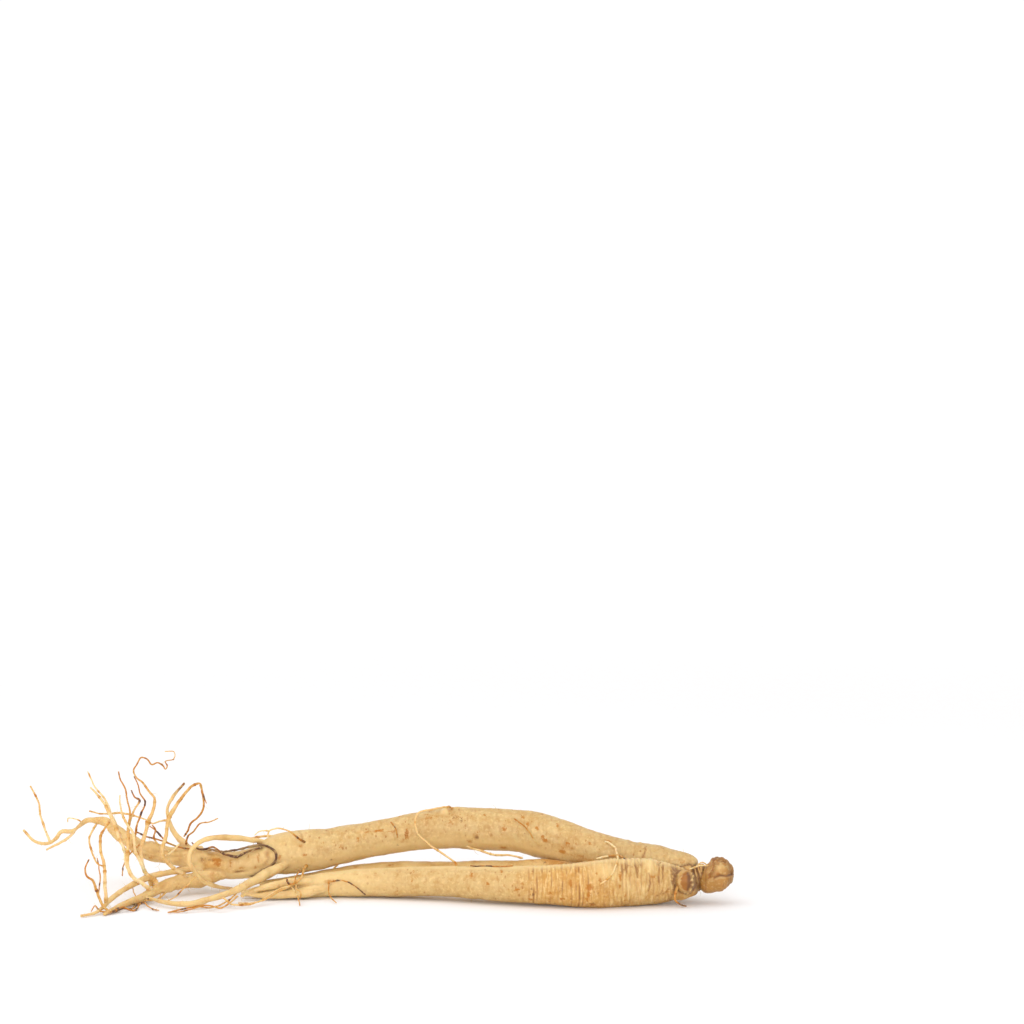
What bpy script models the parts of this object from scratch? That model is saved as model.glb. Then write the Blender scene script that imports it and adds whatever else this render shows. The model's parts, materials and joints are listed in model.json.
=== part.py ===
"""A fresh forked ginseng root, grown as one piece and lying on a table.

The crown with its neck and bud is at +X. Two stout legs and a thinner third one run from it
towards -X, where they end in a tail, side roots and curling rootlets. Each of them is a tube
along a route of hand-set points. All the tubes are joined in one closed body, which rests on
three small flat spots. Metres, +Z up, with the origin on the table under the root's middle.
"""

import math
import random

import bmesh
import bpy
from mathutils import Vector

MM = 0.001

# Growth rings run round the crown end of the legs, from these places along X to the neck.
RING_PITCH = 1.6 * MM
RING_DEPTH = 0.4 * MM
LOWER_RINGS_FROM = 48 * MM
UPPER_RINGS_FROM = 78 * MM
RING_FADE = 8 * MM

# How much the rings differ from one to the next, and how much each one fades round the leg.
RING_VARIETY = 0.3
RING_PATCHES = 0.35

# Slow swellings and flats that keep the legs from being round.
LUMP_SHARE = 0.035
LUMP_LENGTH = 17 * MM

# Faces round each kind of tube.
LOWER_LEG_SIDES = 18
UPPER_LEG_SIDES = 15
THIRD_LEG_SIDES = 11
TAIL_SIDES = 9
NECK_SIDES = 14
BUD_SIDES = 14
KNOB_SIDES = 12
SIDE_ROOT_SIDES = 6
ROOTLET_SIDES = 5

# The thinnest rootlet, and the steps between the cross-sections of the tubes.
THINNEST = 0.6 * MM
LEG_STEP = 2.8 * MM
THIRD_LEG_STEP = 3.6 * MM
BUD_STEP = 1.1 * MM
SIDE_ROOT_STEP = 2.9 * MM
ROOTLET_STEP = 2.4 * MM
SAMPLE_STEP = 0.05 * MM
END_CAP = 0.5 * MM

# Rootlets on the side that faces away from the crown's bud scar.
BACK_ROOTLETS = 7
BACK_ROOTLET_POINTS = 6
BACK_ROOTLET_LEAP = 3.5 * MM
BACK_ROOTLET_SINK = 2.5 * MM
BACK_ROOTLET_CLEARANCE = 1.2 * MM
BACK_ROOTLET_TURN = 0.6
SEED = 11

TABLE_SLAB = (0.3, 0.2, 0.02)
ROOT_COLOUR = (0.79, 0.62, 0.40, 1.0)
ROOT_ROUGHNESS = 0.6

# Each route point is (x, y, z, diameter) in millimetres.
LOWER_LEG = [
    (89, -12.5, 6.2, 7.3), (85.5, -14, 6.2, 10.1), (78, -15.5, 6.4, 12.9), (71, -17, 6.3, 13.3),
    (65.5, -18, 6.2, 13.2), (57.5, -18, 6.2, 12.3), (50, -17, 5.9, 10.9), (41, -15, 5.8, 10.1),
    (32, -12, 5.5, 9.3), (20.5, -8, 5.2, 8.6), (9.5, -5.5, 4.8, 8.4), (-2, -4, 4.3, 8),
    (-9, -3.5, 3.7, 7.1), (-16.5, -3.5, 3, 6.4), (-23.5, -4, 2.3, 4.9), (-30, -5, 2, 3.2),
    (-35.5, -6, 1.4, 1.7),
]
UPPER_LEG = [
    (91.5, -9, 8.8, 6.2), (88.5, -7.5, 8.8, 9.1), (83, -6, 9.7, 10.5), (76, -4.5, 10.5, 10.8),
    (67.5, -1.5, 12, 10.8), (60, 1.5, 13.6, 11.3), (52.5, 4.5, 15.3, 12.3), (43, 7.5, 17, 12.3),
    (33, 9, 17.5, 11.9), (23, 10, 17.5, 11.8), (13, 10.5, 16.5, 10.5), (4, 10.5, 15, 10.2),
    (-4.5, 10, 13.5, 10.7), (-11.5, 9, 12, 11.1), (-20, 8, 11, 12.1), (-26, 7, 10.5, 11.5),
    (-31, 6, 9, 9.2), (-36, 5.5, 8, 8.3), (-41.5, 5.5, 7.5, 8), (-46.5, 6.5, 8, 7.2),
    (-50, 8, 8.8, 5.6),
]
TAIL = [
    (-43, 5.7, 7.6, 6.6), (-46.5, 6.5, 8, 7.2), (-52, 9, 9.5, 6), (-57, 11, 9.5, 4.9),
    (-64, 13.5, 10.5, 4.9), (-69.5, 16, 12.5, 4.3), (-73.5, 18, 15, 3.6), (-77, 20, 17.5, 2.6),
    (-80.5, 22, 18, 2), (-83.5, 24, 17.5, 1.5), (-86, 25.5, 15.5, 1.3),
]
THIRD_LEG = [
    (63, -13.5, 7.5, 6), (57, -8, 7.5, 6.8), (50, -2, 7, 7.4), (41, 3, 5.6, 7.8), (31.5, 6, 4.7, 7.9),
    (18.5, 8.5, 3.9, 8.2), (7, 9.5, 3.8, 8), (-2.5, 9, 3.7, 7.3), (-10, 8, 3.3, 6.2),
    (-17.5, 6.5, 2.7, 4.9), (-24.5, 5.5, 2.3, 3.4), (-31, 4.5, 2, 2.3),
]

# The crown: a short ringed neck, a round bud with a cut end, and a scar knob in front.
NECK = [(88, -11, 6.5, 6.6), (90, -11.5, 6.7, 7.4), (92.5, -12, 7, 7.4), (95, -12.7, 7.5, 7)]
BUD = [
    (93.5, -12.4, 7, 6.6), (95.3, -12.9, 7, 7.8), (97.5, -13.3, 7.8, 9.2),
    (99.2, -13.5, 8.3, 9.7), (100.6, -13.5, 8.4, 8.8), (101.6, -13.5, 8.4, 7.3), (102.1, -13.5, 8.4, 5.9),
]
KNOB = [(89, -12, 6.5, 4.5), (89.3, -16, 6.8, 5.6), (89.5, -19, 7, 6.2), (89.6, -20.6, 7, 4.4)]

SIDE_ROOTS = {
    "lower_branch": [
        (-37, 5.2, 7.6, 3.4), (-42, 4, 6, 4.2), (-47, 2.2, 4.4, 4.4), (-51, 1, 4, 4.3), (-54, -1, 3.8, 4.1),
        (-57.5, -4, 3.2, 3.6), (-60.5, -8, 2.4, 2.7), (-63.5, -13.5, 1.5, 2.4),
        (-66, -19, 1.3, 2), (-68.5, -24, 1.1, 1.7), (-70, -29, 0.9, 1.2), (-71.5, -33, 0.6, 0.8),
    ],
    "middle_branch": [
        (-45, 5.5, 7.2, 2), (-52, 2, 6.9, 1.9), (-56.5, -1, 6.7, 1.7), (-61, -5, 6.4, 1.7),
        (-65, -11, 5.4, 1.7), (-68.5, -17, 4.2, 1.5), (-71, -23, 2.8, 1.4), (-72.5, -28, 1.6, 1.1),
        (-75, -33.5, 0.7, 0.8), (-77.5, -35.5, 0.6, 0.7),
    ],
    "front_root": [
        (-21, 7, 9.5, 1.8), (-24, 2, 8.5, 2.4), (-26.5, -1, 7.5, 2.8), (-30, -6, 6.3, 2.7),
        (-34, -11.5, 4.9, 2.2), (-39, -17, 3.4, 1.9), (-44, -21, 2.4, 1.7), (-49, -23, 1.6, 1.6),
        (-52, -22.5, 1.5, 1.4), (-57.5, -18.5, 1.5, 1.2), (-61.5, -13, 1.5, 0.8),
    ],
    "pale_loop": [
        (-27.5, 7, 13, 1.6), (-31, 5, 14.6, 1.6), (-33.5, 3, 15.3, 1.6), (-37.5, 0, 16.3, 1.6),
        (-42, -3, 17, 1.5), (-45, -5, 17, 1.5), (-48, -7, 16, 1.4), (-50, -8, 13.8, 1.4),
        (-50.5, -8, 11, 1.4), (-49, -7, 8, 1.4), (-47, -5, 5, 1.3), (-44.5, -2, 3.2, 1.2),
        (-42, 2, 1.7, 1), (-39.5, 6, 0.8, 0.7),
    ],
    "dark_arc": [
        (-29.5, 4.5, 13, 1.2), (-27.3, 1.6, 12.8, 1.3), (-26.2, 1, 11.2, 1.3),
        (-27.2, 1.2, 9.4, 1.2), (-29.5, 1.8, 7.4, 1.1), (-32, 2.8, 5.8, 1), (-34.5, 4.2, 4.9, 0.9),
    ],
    "dark_wisp": [
        (-29, 6, 13, 1.1), (-33.5, 4.5, 13, 1.2), (-36, 3.2, 12.2, 1.3), (-38.5, 2.6, 11.4, 1.3),
        (-42, 3.2, 11.6, 1.1), (-44, 4.5, 12.6, 0.9), (-46, 6, 12.6, 0.7),
    ],
    "tail_fork": [
        (-84.5, 24.5, 16.8, 1.3), (-88, 26.5, 14, 1.2), (-91.5, 28, 13.5, 1.2),
        (-93, 29, 11.5, 1.1), (-95, 30, 10, 1), (-99.5, 32, 10, 0.9), (-103.3, 35, 12.8, 0.7),
    ],
    "pale_shoot": [
        (-50.5, 8.5, 10, 2), (-53, 10, 12.5, 2), (-55.5, 12, 14.5, 1.7), (-57.5, 14, 17, 1.3),
        (-58.5, 15, 19.5, 1), (-59, 16, 22, 0.9), (-57.5, 18, 25.5, 0.9), (-54.5, 20, 29, 0.6),
    ],
}

ROOTLETS = {
    "tall_rootlet": [
        (-59.5, -6.5, 2.8, 1.5), (-60.5, -6, 5, 1.4), (-62, -7, 7, 1.3), (-64, -8, 12, 1.2),
        (-63.5, -7.5, 17, 1.2), (-62, -6.5, 22, 1.3), (-60.5, -5, 26.5, 1), (-60.5, -5, 28.5, 0.8),
        (-64, -4, 33, 0.6), (-66.5, -3, 36, 0.6), (-65.5, -3, 38, 0.6), (-64, -2.5, 40, 0.6),
        (-61.5, -1, 37.5, 0.6), (-60, 0, 38, 0.6), (-57.5, 1, 36.2, 0.6), (-55.5, 3, 38, 0.6),
    ],
    "dark_twin": [
        (-64, -8, 12, 0.8), (-66.5, -5, 15, 0.7), (-65.5, -4, 21, 0.6), (-63.5, -3, 27, 0.6),
        (-65.5, -2, 32, 0.6), (-66.5, -2.5, 34.5, 0.6),
    ],
    "near_rootlet": [
        (-60, -7.5, 2.4, 1.4), (-63.5, -12, 5.5, 1.3), (-66, -13, 7.5, 1.2), (-67.5, -12, 13, 1.1),
        (-67.5, -9.5, 19, 1), (-67, -9, 24, 0.8), (-68.5, -8, 31, 0.6), (-70.5, -7, 36.5, 0.6),
    ],
    "leaning_rootlet": [
        (-66.5, -13, 8.5, 1), (-68, -11.5, 11.5, 1.1), (-69.5, -9, 16.5, 1), (-72.5, -5, 22.5, 1),
        (-76.5, 0, 28, 0.7), (-79.5, 3, 30.5, 0.6),
    ],
    "leaning_twin": [
        (-68.5, -10.5, 14, 0.8), (-70.5, -5, 18.5, 0.9), (-73.5, 0, 23.5, 0.8),
        (-78.5, 7, 29.5, 0.6), (-81.5, 11, 34, 0.6),
    ],
    "arched_rootlet": [
        (-51.5, 1.5, 4.5, 1.2), (-53, -1.5, 6.8, 1.1), (-56.5, -6, 10, 1.2), (-58, -8, 14, 1.2),
        (-57, -5, 20, 1.1), (-55.5, -3, 24.5, 1.2), (-52, -1, 29.5, 0.9), (-49.3, 0, 31.8, 0.7),
        (-47.7, 0, 30.7, 0.6), (-47.3, 0.5, 25, 0.6), (-49, 2, 22, 0.6), (-52, 5, 17.5, 0.6),
        (-53.5, 7, 15.5, 0.6),
    ],
    "drooping_rootlet": [
        (-53, 9.9, 12.6, 0.8), (-52, 6, 16, 0.6), (-50, 3, 18.5, 0.6), (-45.5, -1, 21, 0.6),
        (-42.5, -3, 22.5, 0.6),
    ],
    "back_runner": [
        (-58.4, 14.9, 19, 0.7), (-61.5, 17, 18.5, 0.6), (-66, 20, 18.3, 0.6), (-73, 22, 20, 0.7),
        (-83, 26, 20, 0.6),
    ],
    "curled_rootlet": [
        (-72, -25.5, 2.1, 1), (-72, -27, 7, 1), (-72.3, -26.5, 12, 0.9), (-73.5, -25, 17.5, 0.8),
        (-73.3, -22.5, 21.3, 0.8), (-71.5, -19, 24, 0.6),
    ],
    "front_curl": [
        (-68.6, -24.3, 1.1, 1), (-70, -28.5, 0.8, 0.9), (-72, -30, 2, 0.8), (-74, -30, 6.5, 0.8),
        (-76.5, -30, 10.5, 0.6), (-77, -30, 13, 0.6), (-76, -30, 15.5, 0.6),
    ],
    "tail_twig": [
        (-86.8, 26, 14.8, 1), (-88.5, 27, 12.5, 0.9), (-92.5, 28, 10, 0.8), (-96, 29, 8, 0.6),
    ],
    "tail_upright": [
        (-95, 30, 10, 0.8), (-96.5, 31.2, 14, 0.7), (-98, 32, 18, 0.6), (-98.5, 32, 21.5, 0.6),
        (-101, 33, 26.5, 0.6),
    ],
    "hanging_thread": [
        (25, 9.5, 21.5, 0.8), (23, 7, 24.3, 0.6), (18, 3.5, 24, 0.6), (14, 3, 22.7, 0.6),
        (13.2, 1.5, 20, 0.6), (14.5, 0.5, 17, 0.6), (21.5, -3, 12, 0.6), (25, -7, 9.5, 0.6),
        (24.5, -9.5, 7, 0.6),
    ],
    "gap_thread": [
        (26.5, 8, 13.5, 0.7), (29.5, 4.5, 12.6, 0.6), (32.5, 3, 12, 0.7), (36, 1.5, 11.2, 0.7),
        (40, 2, 11, 0.6), (44, 0, 10.5, 0.6),
    ],
    "leg_curl": [
        (-18, 5.5, 13.5, 0.8), (-20, 2.5, 15.8, 0.6), (-23.5, 1.5, 18, 0.6), (-27, 1.5, 18.6, 0.6),
        (-29, 2.5, 16, 0.6),
    ],
    "creeping_thread": [
        (-17.5, 5.5, 8, 0.7), (-18.5, 0, 7.2, 0.6), (-19.5, -7, 6, 0.6), (-24, -11, 3.8, 0.6),
        (-27.5, -14, 2.4, 0.6), (-31.5, -18.5, 1, 0.6), (-36, -19, 1.1, 0.6),
    ],
    "knob_hair": [
        (88.8, -18, 6, 0.8), (86.8, -20.5, 3.6, 0.6), (87.2, -20.8, 1.8, 0.6), (89, -20, 0.7, 0.6),
    ],
}


def smooth_step(start, end, value):
    """Rises smoothly from 0 at start to 1 at end."""
    share = min(max((value - start) / (end - start), 0), 1)
    return share * share * (3 - 2 * share)


def curve_points(route):
    """Closely spaced places on a smooth curve through a route: (x, y, z, diameter) in metres."""
    knots = [Vector(point) * MM for point in route]
    knots.insert(0, 2 * knots[0] - knots[1])
    knots.append(2 * knots[-1] - knots[-2])
    points = []
    for before, start, end, after in zip(knots, knots[1:], knots[2:], knots[3:]):
        chord = (end - start).length
        gap_before = (start - before).length
        gap_after = (after - end).length
        leave = chord * (
            (start - before) / gap_before - (end - before) / (gap_before + chord)
        ) + (end - start)
        arrive = chord * (
            (after - end) / gap_after - (after - start) / (chord + gap_after)
        ) + (end - start)
        count = max(2, round(chord / SAMPLE_STEP))
        for k in range(count):
            t = k / count
            points.append(
                start * (2 * t**3 - 3 * t**2 + 1)
                + leave * (t**3 - 2 * t**2 + t)
                + end * (3 * t**2 - 2 * t**3)
                + arrive * (t**3 - t**2)
            )
    points.append(knots[-2])
    return points


def stations(route, step_at):
    """The centre and the radius of each cross-section along a route."""
    points = curve_points(route)
    picked = [points[0]]
    travelled = 0
    for previous, point in zip(points, points[1:]):
        travelled += (point - previous).length
        if travelled >= step_at(point.x):
            picked.append(point)
            travelled = 0
    if travelled > step_at(points[-1].x) / 2:
        picked.append(points[-1])
    else:
        picked[-1] = points[-1]
    return [(point.xyz, max(point.w, THINNEST) / 2) for point in picked]


def add_tube(collection, name, route, sides, step_at, relief=None):
    """Add a closed tube along a route; relief gives each point's height over its circle."""
    sections = stations(route, step_at)
    centres = [centre for centre, radius in sections]
    body = bmesh.new()
    rings = []
    upward = Vector((0, 0.1, 1))
    for k, (centre, radius) in enumerate(sections):
        forward = (centres[min(k + 1, len(centres) - 1)] - centres[max(k - 1, 0)]).normalized()
        upward = (upward - forward * upward.dot(forward)).normalized()
        across = forward.cross(upward)
        if k == 0:
            first_pole = body.verts.new(centre - forward * min(radius / 2, END_CAP))
        ring = []
        for side in range(sides):
            angle = math.tau * side / sides
            outward = upward * math.cos(angle) + across * math.sin(angle)
            height = relief(k, centre, radius, angle, outward) if relief else 0
            ring.append(body.verts.new(centre + outward * (radius + height)))
        rings.append(ring)
    last_pole = body.verts.new(centre + forward * min(radius / 2, END_CAP))
    for near, far in zip(rings, rings[1:]):
        for side in range(sides):
            beside = (side + 1) % sides
            body.faces.new((near[side], near[beside], far[beside], far[side]))
    for side in range(sides):
        beside = (side + 1) % sides
        body.faces.new((first_pole, rings[0][beside], rings[0][side]))
        body.faces.new((last_pole, rings[-1][side], rings[-1][beside]))
    bmesh.ops.triangulate(body, faces=body.faces)
    bmesh.ops.recalc_face_normals(body, faces=body.faces)
    mesh = bpy.data.meshes.new(name)
    body.to_mesh(mesh)
    body.free()
    tube = bpy.data.objects.new(name, mesh)
    collection.objects.link(tube)
    return tube


def add_leg(collection, name, route, sides, rings_from):
    """A leg with growth rings from a place along X, slow lumps, and a plain underside."""

    def step_at(x):
        return RING_PITCH / 2 if x > rings_from else LEG_STEP

    def relief(k, centre, radius, angle, outward):
        along = smooth_step(rings_from, rings_from + RING_FADE, centre.x)
        above = smooth_step(-0.75, -0.2, outward.z)
        crest = (1 if k % 2 else -1) * (0.8 + RING_VARIETY * math.sin(1.7 * k))
        wander = 1 - RING_PATCHES + RING_PATCHES * math.sin(2 * angle + centre.x / RING_PITCH)
        phase = centre.x / LUMP_LENGTH
        lump = math.sin(2 * angle + 2.3 * phase) + 0.6 * math.sin(3 * angle - 1.4 * phase + 1)
        return above * (along * crest * wander * RING_DEPTH / 2 + LUMP_SHARE * radius * lump)

    return add_tube(collection, name, route, sides, step_at, relief)


def neck_relief(k, centre, radius, angle, outward):
    """Tight rings round the neck."""
    return (0.5 if k % 2 else -0.5) * RING_DEPTH


def add_back_rootlets(collection):
    """Short rootlets that wander out of the legs' far side, spaced along the root by a rule."""
    source = random.Random(SEED)
    for number in range(BACK_ROOTLETS):
        x, y, z, diameter = UPPER_LEG[6 + 2 * number % 13]
        place = Vector((x + source.uniform(-2, 2), y, z)) * MM
        heading = Vector((source.uniform(-0.6, 0.1), 1, source.uniform(-0.5, 0.6))).normalized()
        place += heading * (diameter / 2 * MM - BACK_ROOTLET_SINK)
        route = []
        for point in range(BACK_ROOTLET_POINTS):
            share = point / (BACK_ROOTLET_POINTS - 1)
            route.append(tuple(place / MM) + (1 - 0.4 * share,))
            turn = Vector((source.uniform(-1, 0.2), source.uniform(-0.5, 0.3), -0.35))
            heading = (heading + turn * BACK_ROOTLET_TURN).normalized()
            place = place + heading * BACK_ROOTLET_LEAP
            place.z = max(place.z, BACK_ROOTLET_CLEARANCE)
        name = f"back_rootlet_{number}"
        add_tube(collection, name, route, ROOTLET_SIDES, lambda x: ROOTLET_STEP)


def apply_modifiers(body):
    """Keep the mesh as the modifiers shape it, and drop the modifiers."""
    shaped = bpy.data.meshes.new_from_object(
        body.evaluated_get(bpy.context.evaluated_depsgraph_get())
    )
    body.modifiers.clear()
    body.data = shaped


def join_tubes(collection):
    """One closed body from the lower leg and every tube in the collection."""
    body = add_leg(
        bpy.context.scene.collection, "ginseng_root", LOWER_LEG, LOWER_LEG_SIDES, LOWER_RINGS_FROM
    )
    union = body.modifiers.new("grown_together", "BOOLEAN")
    union.operation = "UNION"
    union.operand_type = "COLLECTION"
    union.collection = collection
    union.solver = "EXACT"
    apply_modifiers(body)
    for tube in list(collection.objects):
        bpy.data.objects.remove(tube)
    bpy.data.collections.remove(collection)
    return body


def cut_rest_flats(body):
    """Cut off what lies below the table, which leaves the three flat spots the root rests on."""
    bpy.ops.mesh.primitive_cube_add(size=1, location=(0, 0, -TABLE_SLAB[2] / 2))
    slab = bpy.context.object
    slab.scale = TABLE_SLAB
    cut = body.modifiers.new("table", "BOOLEAN")
    cut.operation = "DIFFERENCE"
    cut.object = slab
    cut.solver = "EXACT"
    apply_modifiers(body)
    bpy.data.objects.remove(slab)


def skin_material():
    """Cream root skin."""
    skin = bpy.data.materials.new("root_skin")
    skin.use_nodes = True
    shader = skin.node_tree.nodes["Principled BSDF"]
    shader.inputs["Base Color"].default_value = ROOT_COLOUR
    shader.inputs["Roughness"].default_value = ROOT_ROUGHNESS
    shader.inputs["Metallic"].default_value = 0
    return skin


def build_root():
    """Model the whole root."""
    tubes = bpy.data.collections.new("tubes")
    bpy.context.scene.collection.children.link(tubes)
    add_leg(tubes, "upper_leg", UPPER_LEG, UPPER_LEG_SIDES, UPPER_RINGS_FROM)
    add_tube(tubes, "third_leg", THIRD_LEG, THIRD_LEG_SIDES, lambda x: THIRD_LEG_STEP)
    add_tube(tubes, "tail", TAIL, TAIL_SIDES, lambda x: LEG_STEP)
    add_tube(tubes, "neck", NECK, NECK_SIDES, lambda x: RING_PITCH / 2, neck_relief)
    add_tube(tubes, "bud", BUD, BUD_SIDES, lambda x: BUD_STEP)
    add_tube(tubes, "knob", KNOB, KNOB_SIDES, lambda x: BUD_STEP)
    for name, route in SIDE_ROOTS.items():
        add_tube(tubes, name, route, SIDE_ROOT_SIDES, lambda x: SIDE_ROOT_STEP)
    for name, route in ROOTLETS.items():
        add_tube(tubes, name, route, ROOTLET_SIDES, lambda x: ROOTLET_STEP)
    add_back_rootlets(tubes)
    root = join_tubes(tubes)
    cut_rest_flats(root)
    root.data.materials.clear()
    root.data.materials.append(skin_material())
    root.data.shade_smooth()
    return root


def main():
    """Start from an empty scene and model the root."""
    for leftover in list(bpy.data.objects):
        bpy.data.objects.remove(leftover)
    build_root()


if __name__ == "__main__":
    main()
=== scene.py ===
"""Looks of a fresh forked ginseng root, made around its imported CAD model.

The root body replaces the CAD solid: its legs, crown, bud, tail and thick side roots are tubes on
the same routes as the solid, with rings, wrinkles, pits and scars in their mesh, grown together
in one closed skin. Thin rootlets and root hairs are made by Geometry Nodes. Routes are in
millimetres in the model's frame: +X is the crown end, +Z is up and the table is at z = 0.
"""

import json
import math
import random
from bisect import bisect_left

import bpy
import numpy as np
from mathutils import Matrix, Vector, kdtree, noise

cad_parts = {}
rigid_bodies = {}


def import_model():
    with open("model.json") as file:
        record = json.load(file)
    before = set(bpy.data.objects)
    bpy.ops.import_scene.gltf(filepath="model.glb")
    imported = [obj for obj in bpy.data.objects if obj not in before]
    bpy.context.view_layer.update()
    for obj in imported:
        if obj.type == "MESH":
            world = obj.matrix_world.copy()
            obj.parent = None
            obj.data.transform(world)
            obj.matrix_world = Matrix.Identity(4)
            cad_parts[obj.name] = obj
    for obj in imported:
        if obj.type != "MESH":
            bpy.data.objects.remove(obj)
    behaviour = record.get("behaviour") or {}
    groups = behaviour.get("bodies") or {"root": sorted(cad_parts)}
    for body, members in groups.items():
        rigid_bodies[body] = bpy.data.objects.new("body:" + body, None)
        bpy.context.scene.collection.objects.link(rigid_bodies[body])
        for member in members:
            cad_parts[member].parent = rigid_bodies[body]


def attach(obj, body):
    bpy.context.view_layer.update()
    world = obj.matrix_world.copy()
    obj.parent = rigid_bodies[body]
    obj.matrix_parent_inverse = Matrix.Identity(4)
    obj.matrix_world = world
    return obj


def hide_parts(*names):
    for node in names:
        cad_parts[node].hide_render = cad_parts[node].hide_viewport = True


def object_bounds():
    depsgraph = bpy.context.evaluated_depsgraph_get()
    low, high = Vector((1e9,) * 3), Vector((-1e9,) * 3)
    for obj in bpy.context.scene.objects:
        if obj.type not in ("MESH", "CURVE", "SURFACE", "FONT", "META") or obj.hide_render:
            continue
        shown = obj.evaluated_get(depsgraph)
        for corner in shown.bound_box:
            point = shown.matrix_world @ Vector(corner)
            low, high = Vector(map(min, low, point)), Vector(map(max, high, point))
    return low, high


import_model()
CAD_LOW, CAD_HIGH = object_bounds()

bl_info = {
    "name": "Ginseng Root Looks",
    "version": (1, 0, 0),
    "blender": (4, 5, 0),
    "location": "3D View > Sidebar > Ginseng Root",
    "description": "Skin, growth rings, rootlets and studio for a fresh ginseng root",
    "category": "Object",
}

MM = 0.001
NODE = "ginseng_root"
BODY = "root"

# Where the growth rings run along the lower leg, their fine and coarse parts, and how wide the
# grooves between them are.
RINGS_START = 43.0
FINE_RINGS_END = 60.0
COARSE_RINGS_START = 69.0
RINGS_END = 89.5
FINE_GROOVE = 0.23
COARSE_GROOVE = 0.3
RING_SEED = 5

# Distance between the samples of a smooth route, and rows of points on each rounded tube end.
SAMPLE_STEP = 0.05
CAP_ROWS = 4

# How far from a seam between two tubes it is rounded, and less so from the crown on. Each round
# moves the points and the masks a share of the way to their neighbours' mean.
GRAFT_REACH = 1.0
GRAFT_ROUNDS = 14
POINT_PULL = 0.6
MASK_PULL = 0.5
CRISP_FROM = 86.0
CRISP_SHARE = 0.3

# Soil together with painted shade along the seams: how far it spreads, how much there is near the crown, on
# the rest of the legs and at their far end, and how brown the seams are on the crown and elsewhere, the
# brown being painted shade too.
SEAM_SOIL_AND_SHADE_REACH = 0.55
SEAM_SOIL_AND_SHADE_FROM = 55.0
CROWN_SEAM_SOIL_AND_SHADE = 0.62
LEG_SEAM_SOIL_AND_SHADE = 0.3
FAR_SOIL_AND_SHADE_SHARE = 0.4
CROWN_SEAM_BROWN = 0.55
SEAM_BROWN = 0.16

# Rounds of smoothing that find hollows and ridges, and the relief in millimetres that counts full.
FINE_ROUNDS = 12
BROAD_ROUNDS = 30
RELIEF_PULL = 0.7
FULL_RELIEF = 0.12

# The far side's short rootlets, which follow the same rule as the solid's: they start at points of
# the upper leg's route, from the first one on and within the span.
BACK_ROOTLETS = 7
BACK_ROOTLET_FIRST = 7
BACK_ROOTLET_SPAN = 13
BACK_ROOTLET_TINTS = (0.2, 0.5)
BACK_ROOTLET_POINTS = 6
BACK_ROOTLET_LEAP = 3.5
BACK_ROOTLET_SINK = 2.5
BACK_ROOTLET_CLEARANCE = 1.2
BACK_ROOTLET_TURN = 0.6
BACK_ROOTLET_SEED = 11

# How far the threads on the legs stand off the skin, in millimetres; how many root hairs grow on
# the rootlets, and how brown the hairs are (0 cream, 1 dark brown).
THREAD_LIFT = 0.1
ROOTLET_FUZZ = 0.6
HAIR_TINT = 0.45

# How far rootlets and hairs may go past the CAD box, in metres.
BOX_SLACK = MM

# Distances from the middle between which the floor fades into the white surround, in metres.
FADE_START = 0.35
FADE_END = 1.0

# Places along X of the neck's upright ring, of its leaning one and of the gap under the knob.
NECK_RING_X = 91.7
LEANING_RING_X = 92.9
NECK_GAP_X = 91.2

# Places on the bud: its dark foot, the scar rim on top along X, and the turn of its middle seam.
BUD_FOOT_X = 95.1
BUD_RIM_X = 97.1
BUD_SEAM_TURN = 88

# Middle and half sizes of the oval scar on the knob.
SCAR_X = 89.3
SCAR_Z = 7.3
SCAR_HALF_WIDTH = 1.35
SCAR_HALF_HEIGHT = 2.6

# Names of the painted masks, each stored as a vertex attribute that the skin reads.
# The pale mask also holds painted light on the legs and painted highlights, the soil and bark masks also
# hold painted shade along the seams, between the legs and in the gap under the knob, and the groove mask
# darkens grooves with painted shade as well as their own brown.
MASKS = ("groove", "stain", "soil", "pale", "golden", "bark", "fuzz", "ringed")

# Routes of the main parts as (x, y, z, diameter).
LOWER_LEG = [
    (89, -12.5, 6.2, 7.3), (85.5, -14, 6.2, 10.1), (78, -15.5, 6.4, 12.9), (71, -17, 6.3, 13.3),
    (65.5, -18, 6.2, 13.2), (57.5, -18, 6.2, 12.3), (50, -17, 5.9, 10.9), (41, -15, 5.8, 10.1),
    (32, -12, 5.5, 9.3), (20.5, -8, 5.2, 8.6), (9.5, -5.5, 4.8, 8.4), (-2, -4, 4.3, 8),
    (-9, -3.5, 3.7, 7.1), (-16.5, -3.5, 3, 6.4), (-23.5, -4, 2.3, 4.9), (-30, -5, 2, 3.2),
    (-35.5, -6, 1.4, 1.7),
]
UPPER_LEG = [
    (92.4, -9.2, 8.6, 6.4), (90.6, -8.6, 8.8, 8.2), (88.3, -7.5, 8.9, 9.4), (83, -6, 9.7, 10.5),
    (76, -4.5, 10.5, 10.8),
    (67.5, -1.5, 12, 10.8), (60, 1.5, 13.6, 11.3), (52.5, 4.5, 15.3, 12.3), (43, 7.5, 17, 12.3),
    (33, 9, 17.5, 11.9), (23, 10, 17.5, 11.8), (13, 10.5, 16.5, 10.5), (4, 10.5, 15, 10.2),
    (-4.5, 10, 13.5, 10.7), (-11.5, 9, 12, 11.1), (-20, 8, 11, 12.1), (-26, 7, 10.5, 11.5),
    (-31, 6, 9, 9.2), (-36, 5.5, 8, 8.3), (-41.5, 5.5, 7.5, 8), (-46.5, 6.5, 8, 7.2),
    (-50, 8, 8.8, 5.6),
]
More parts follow.
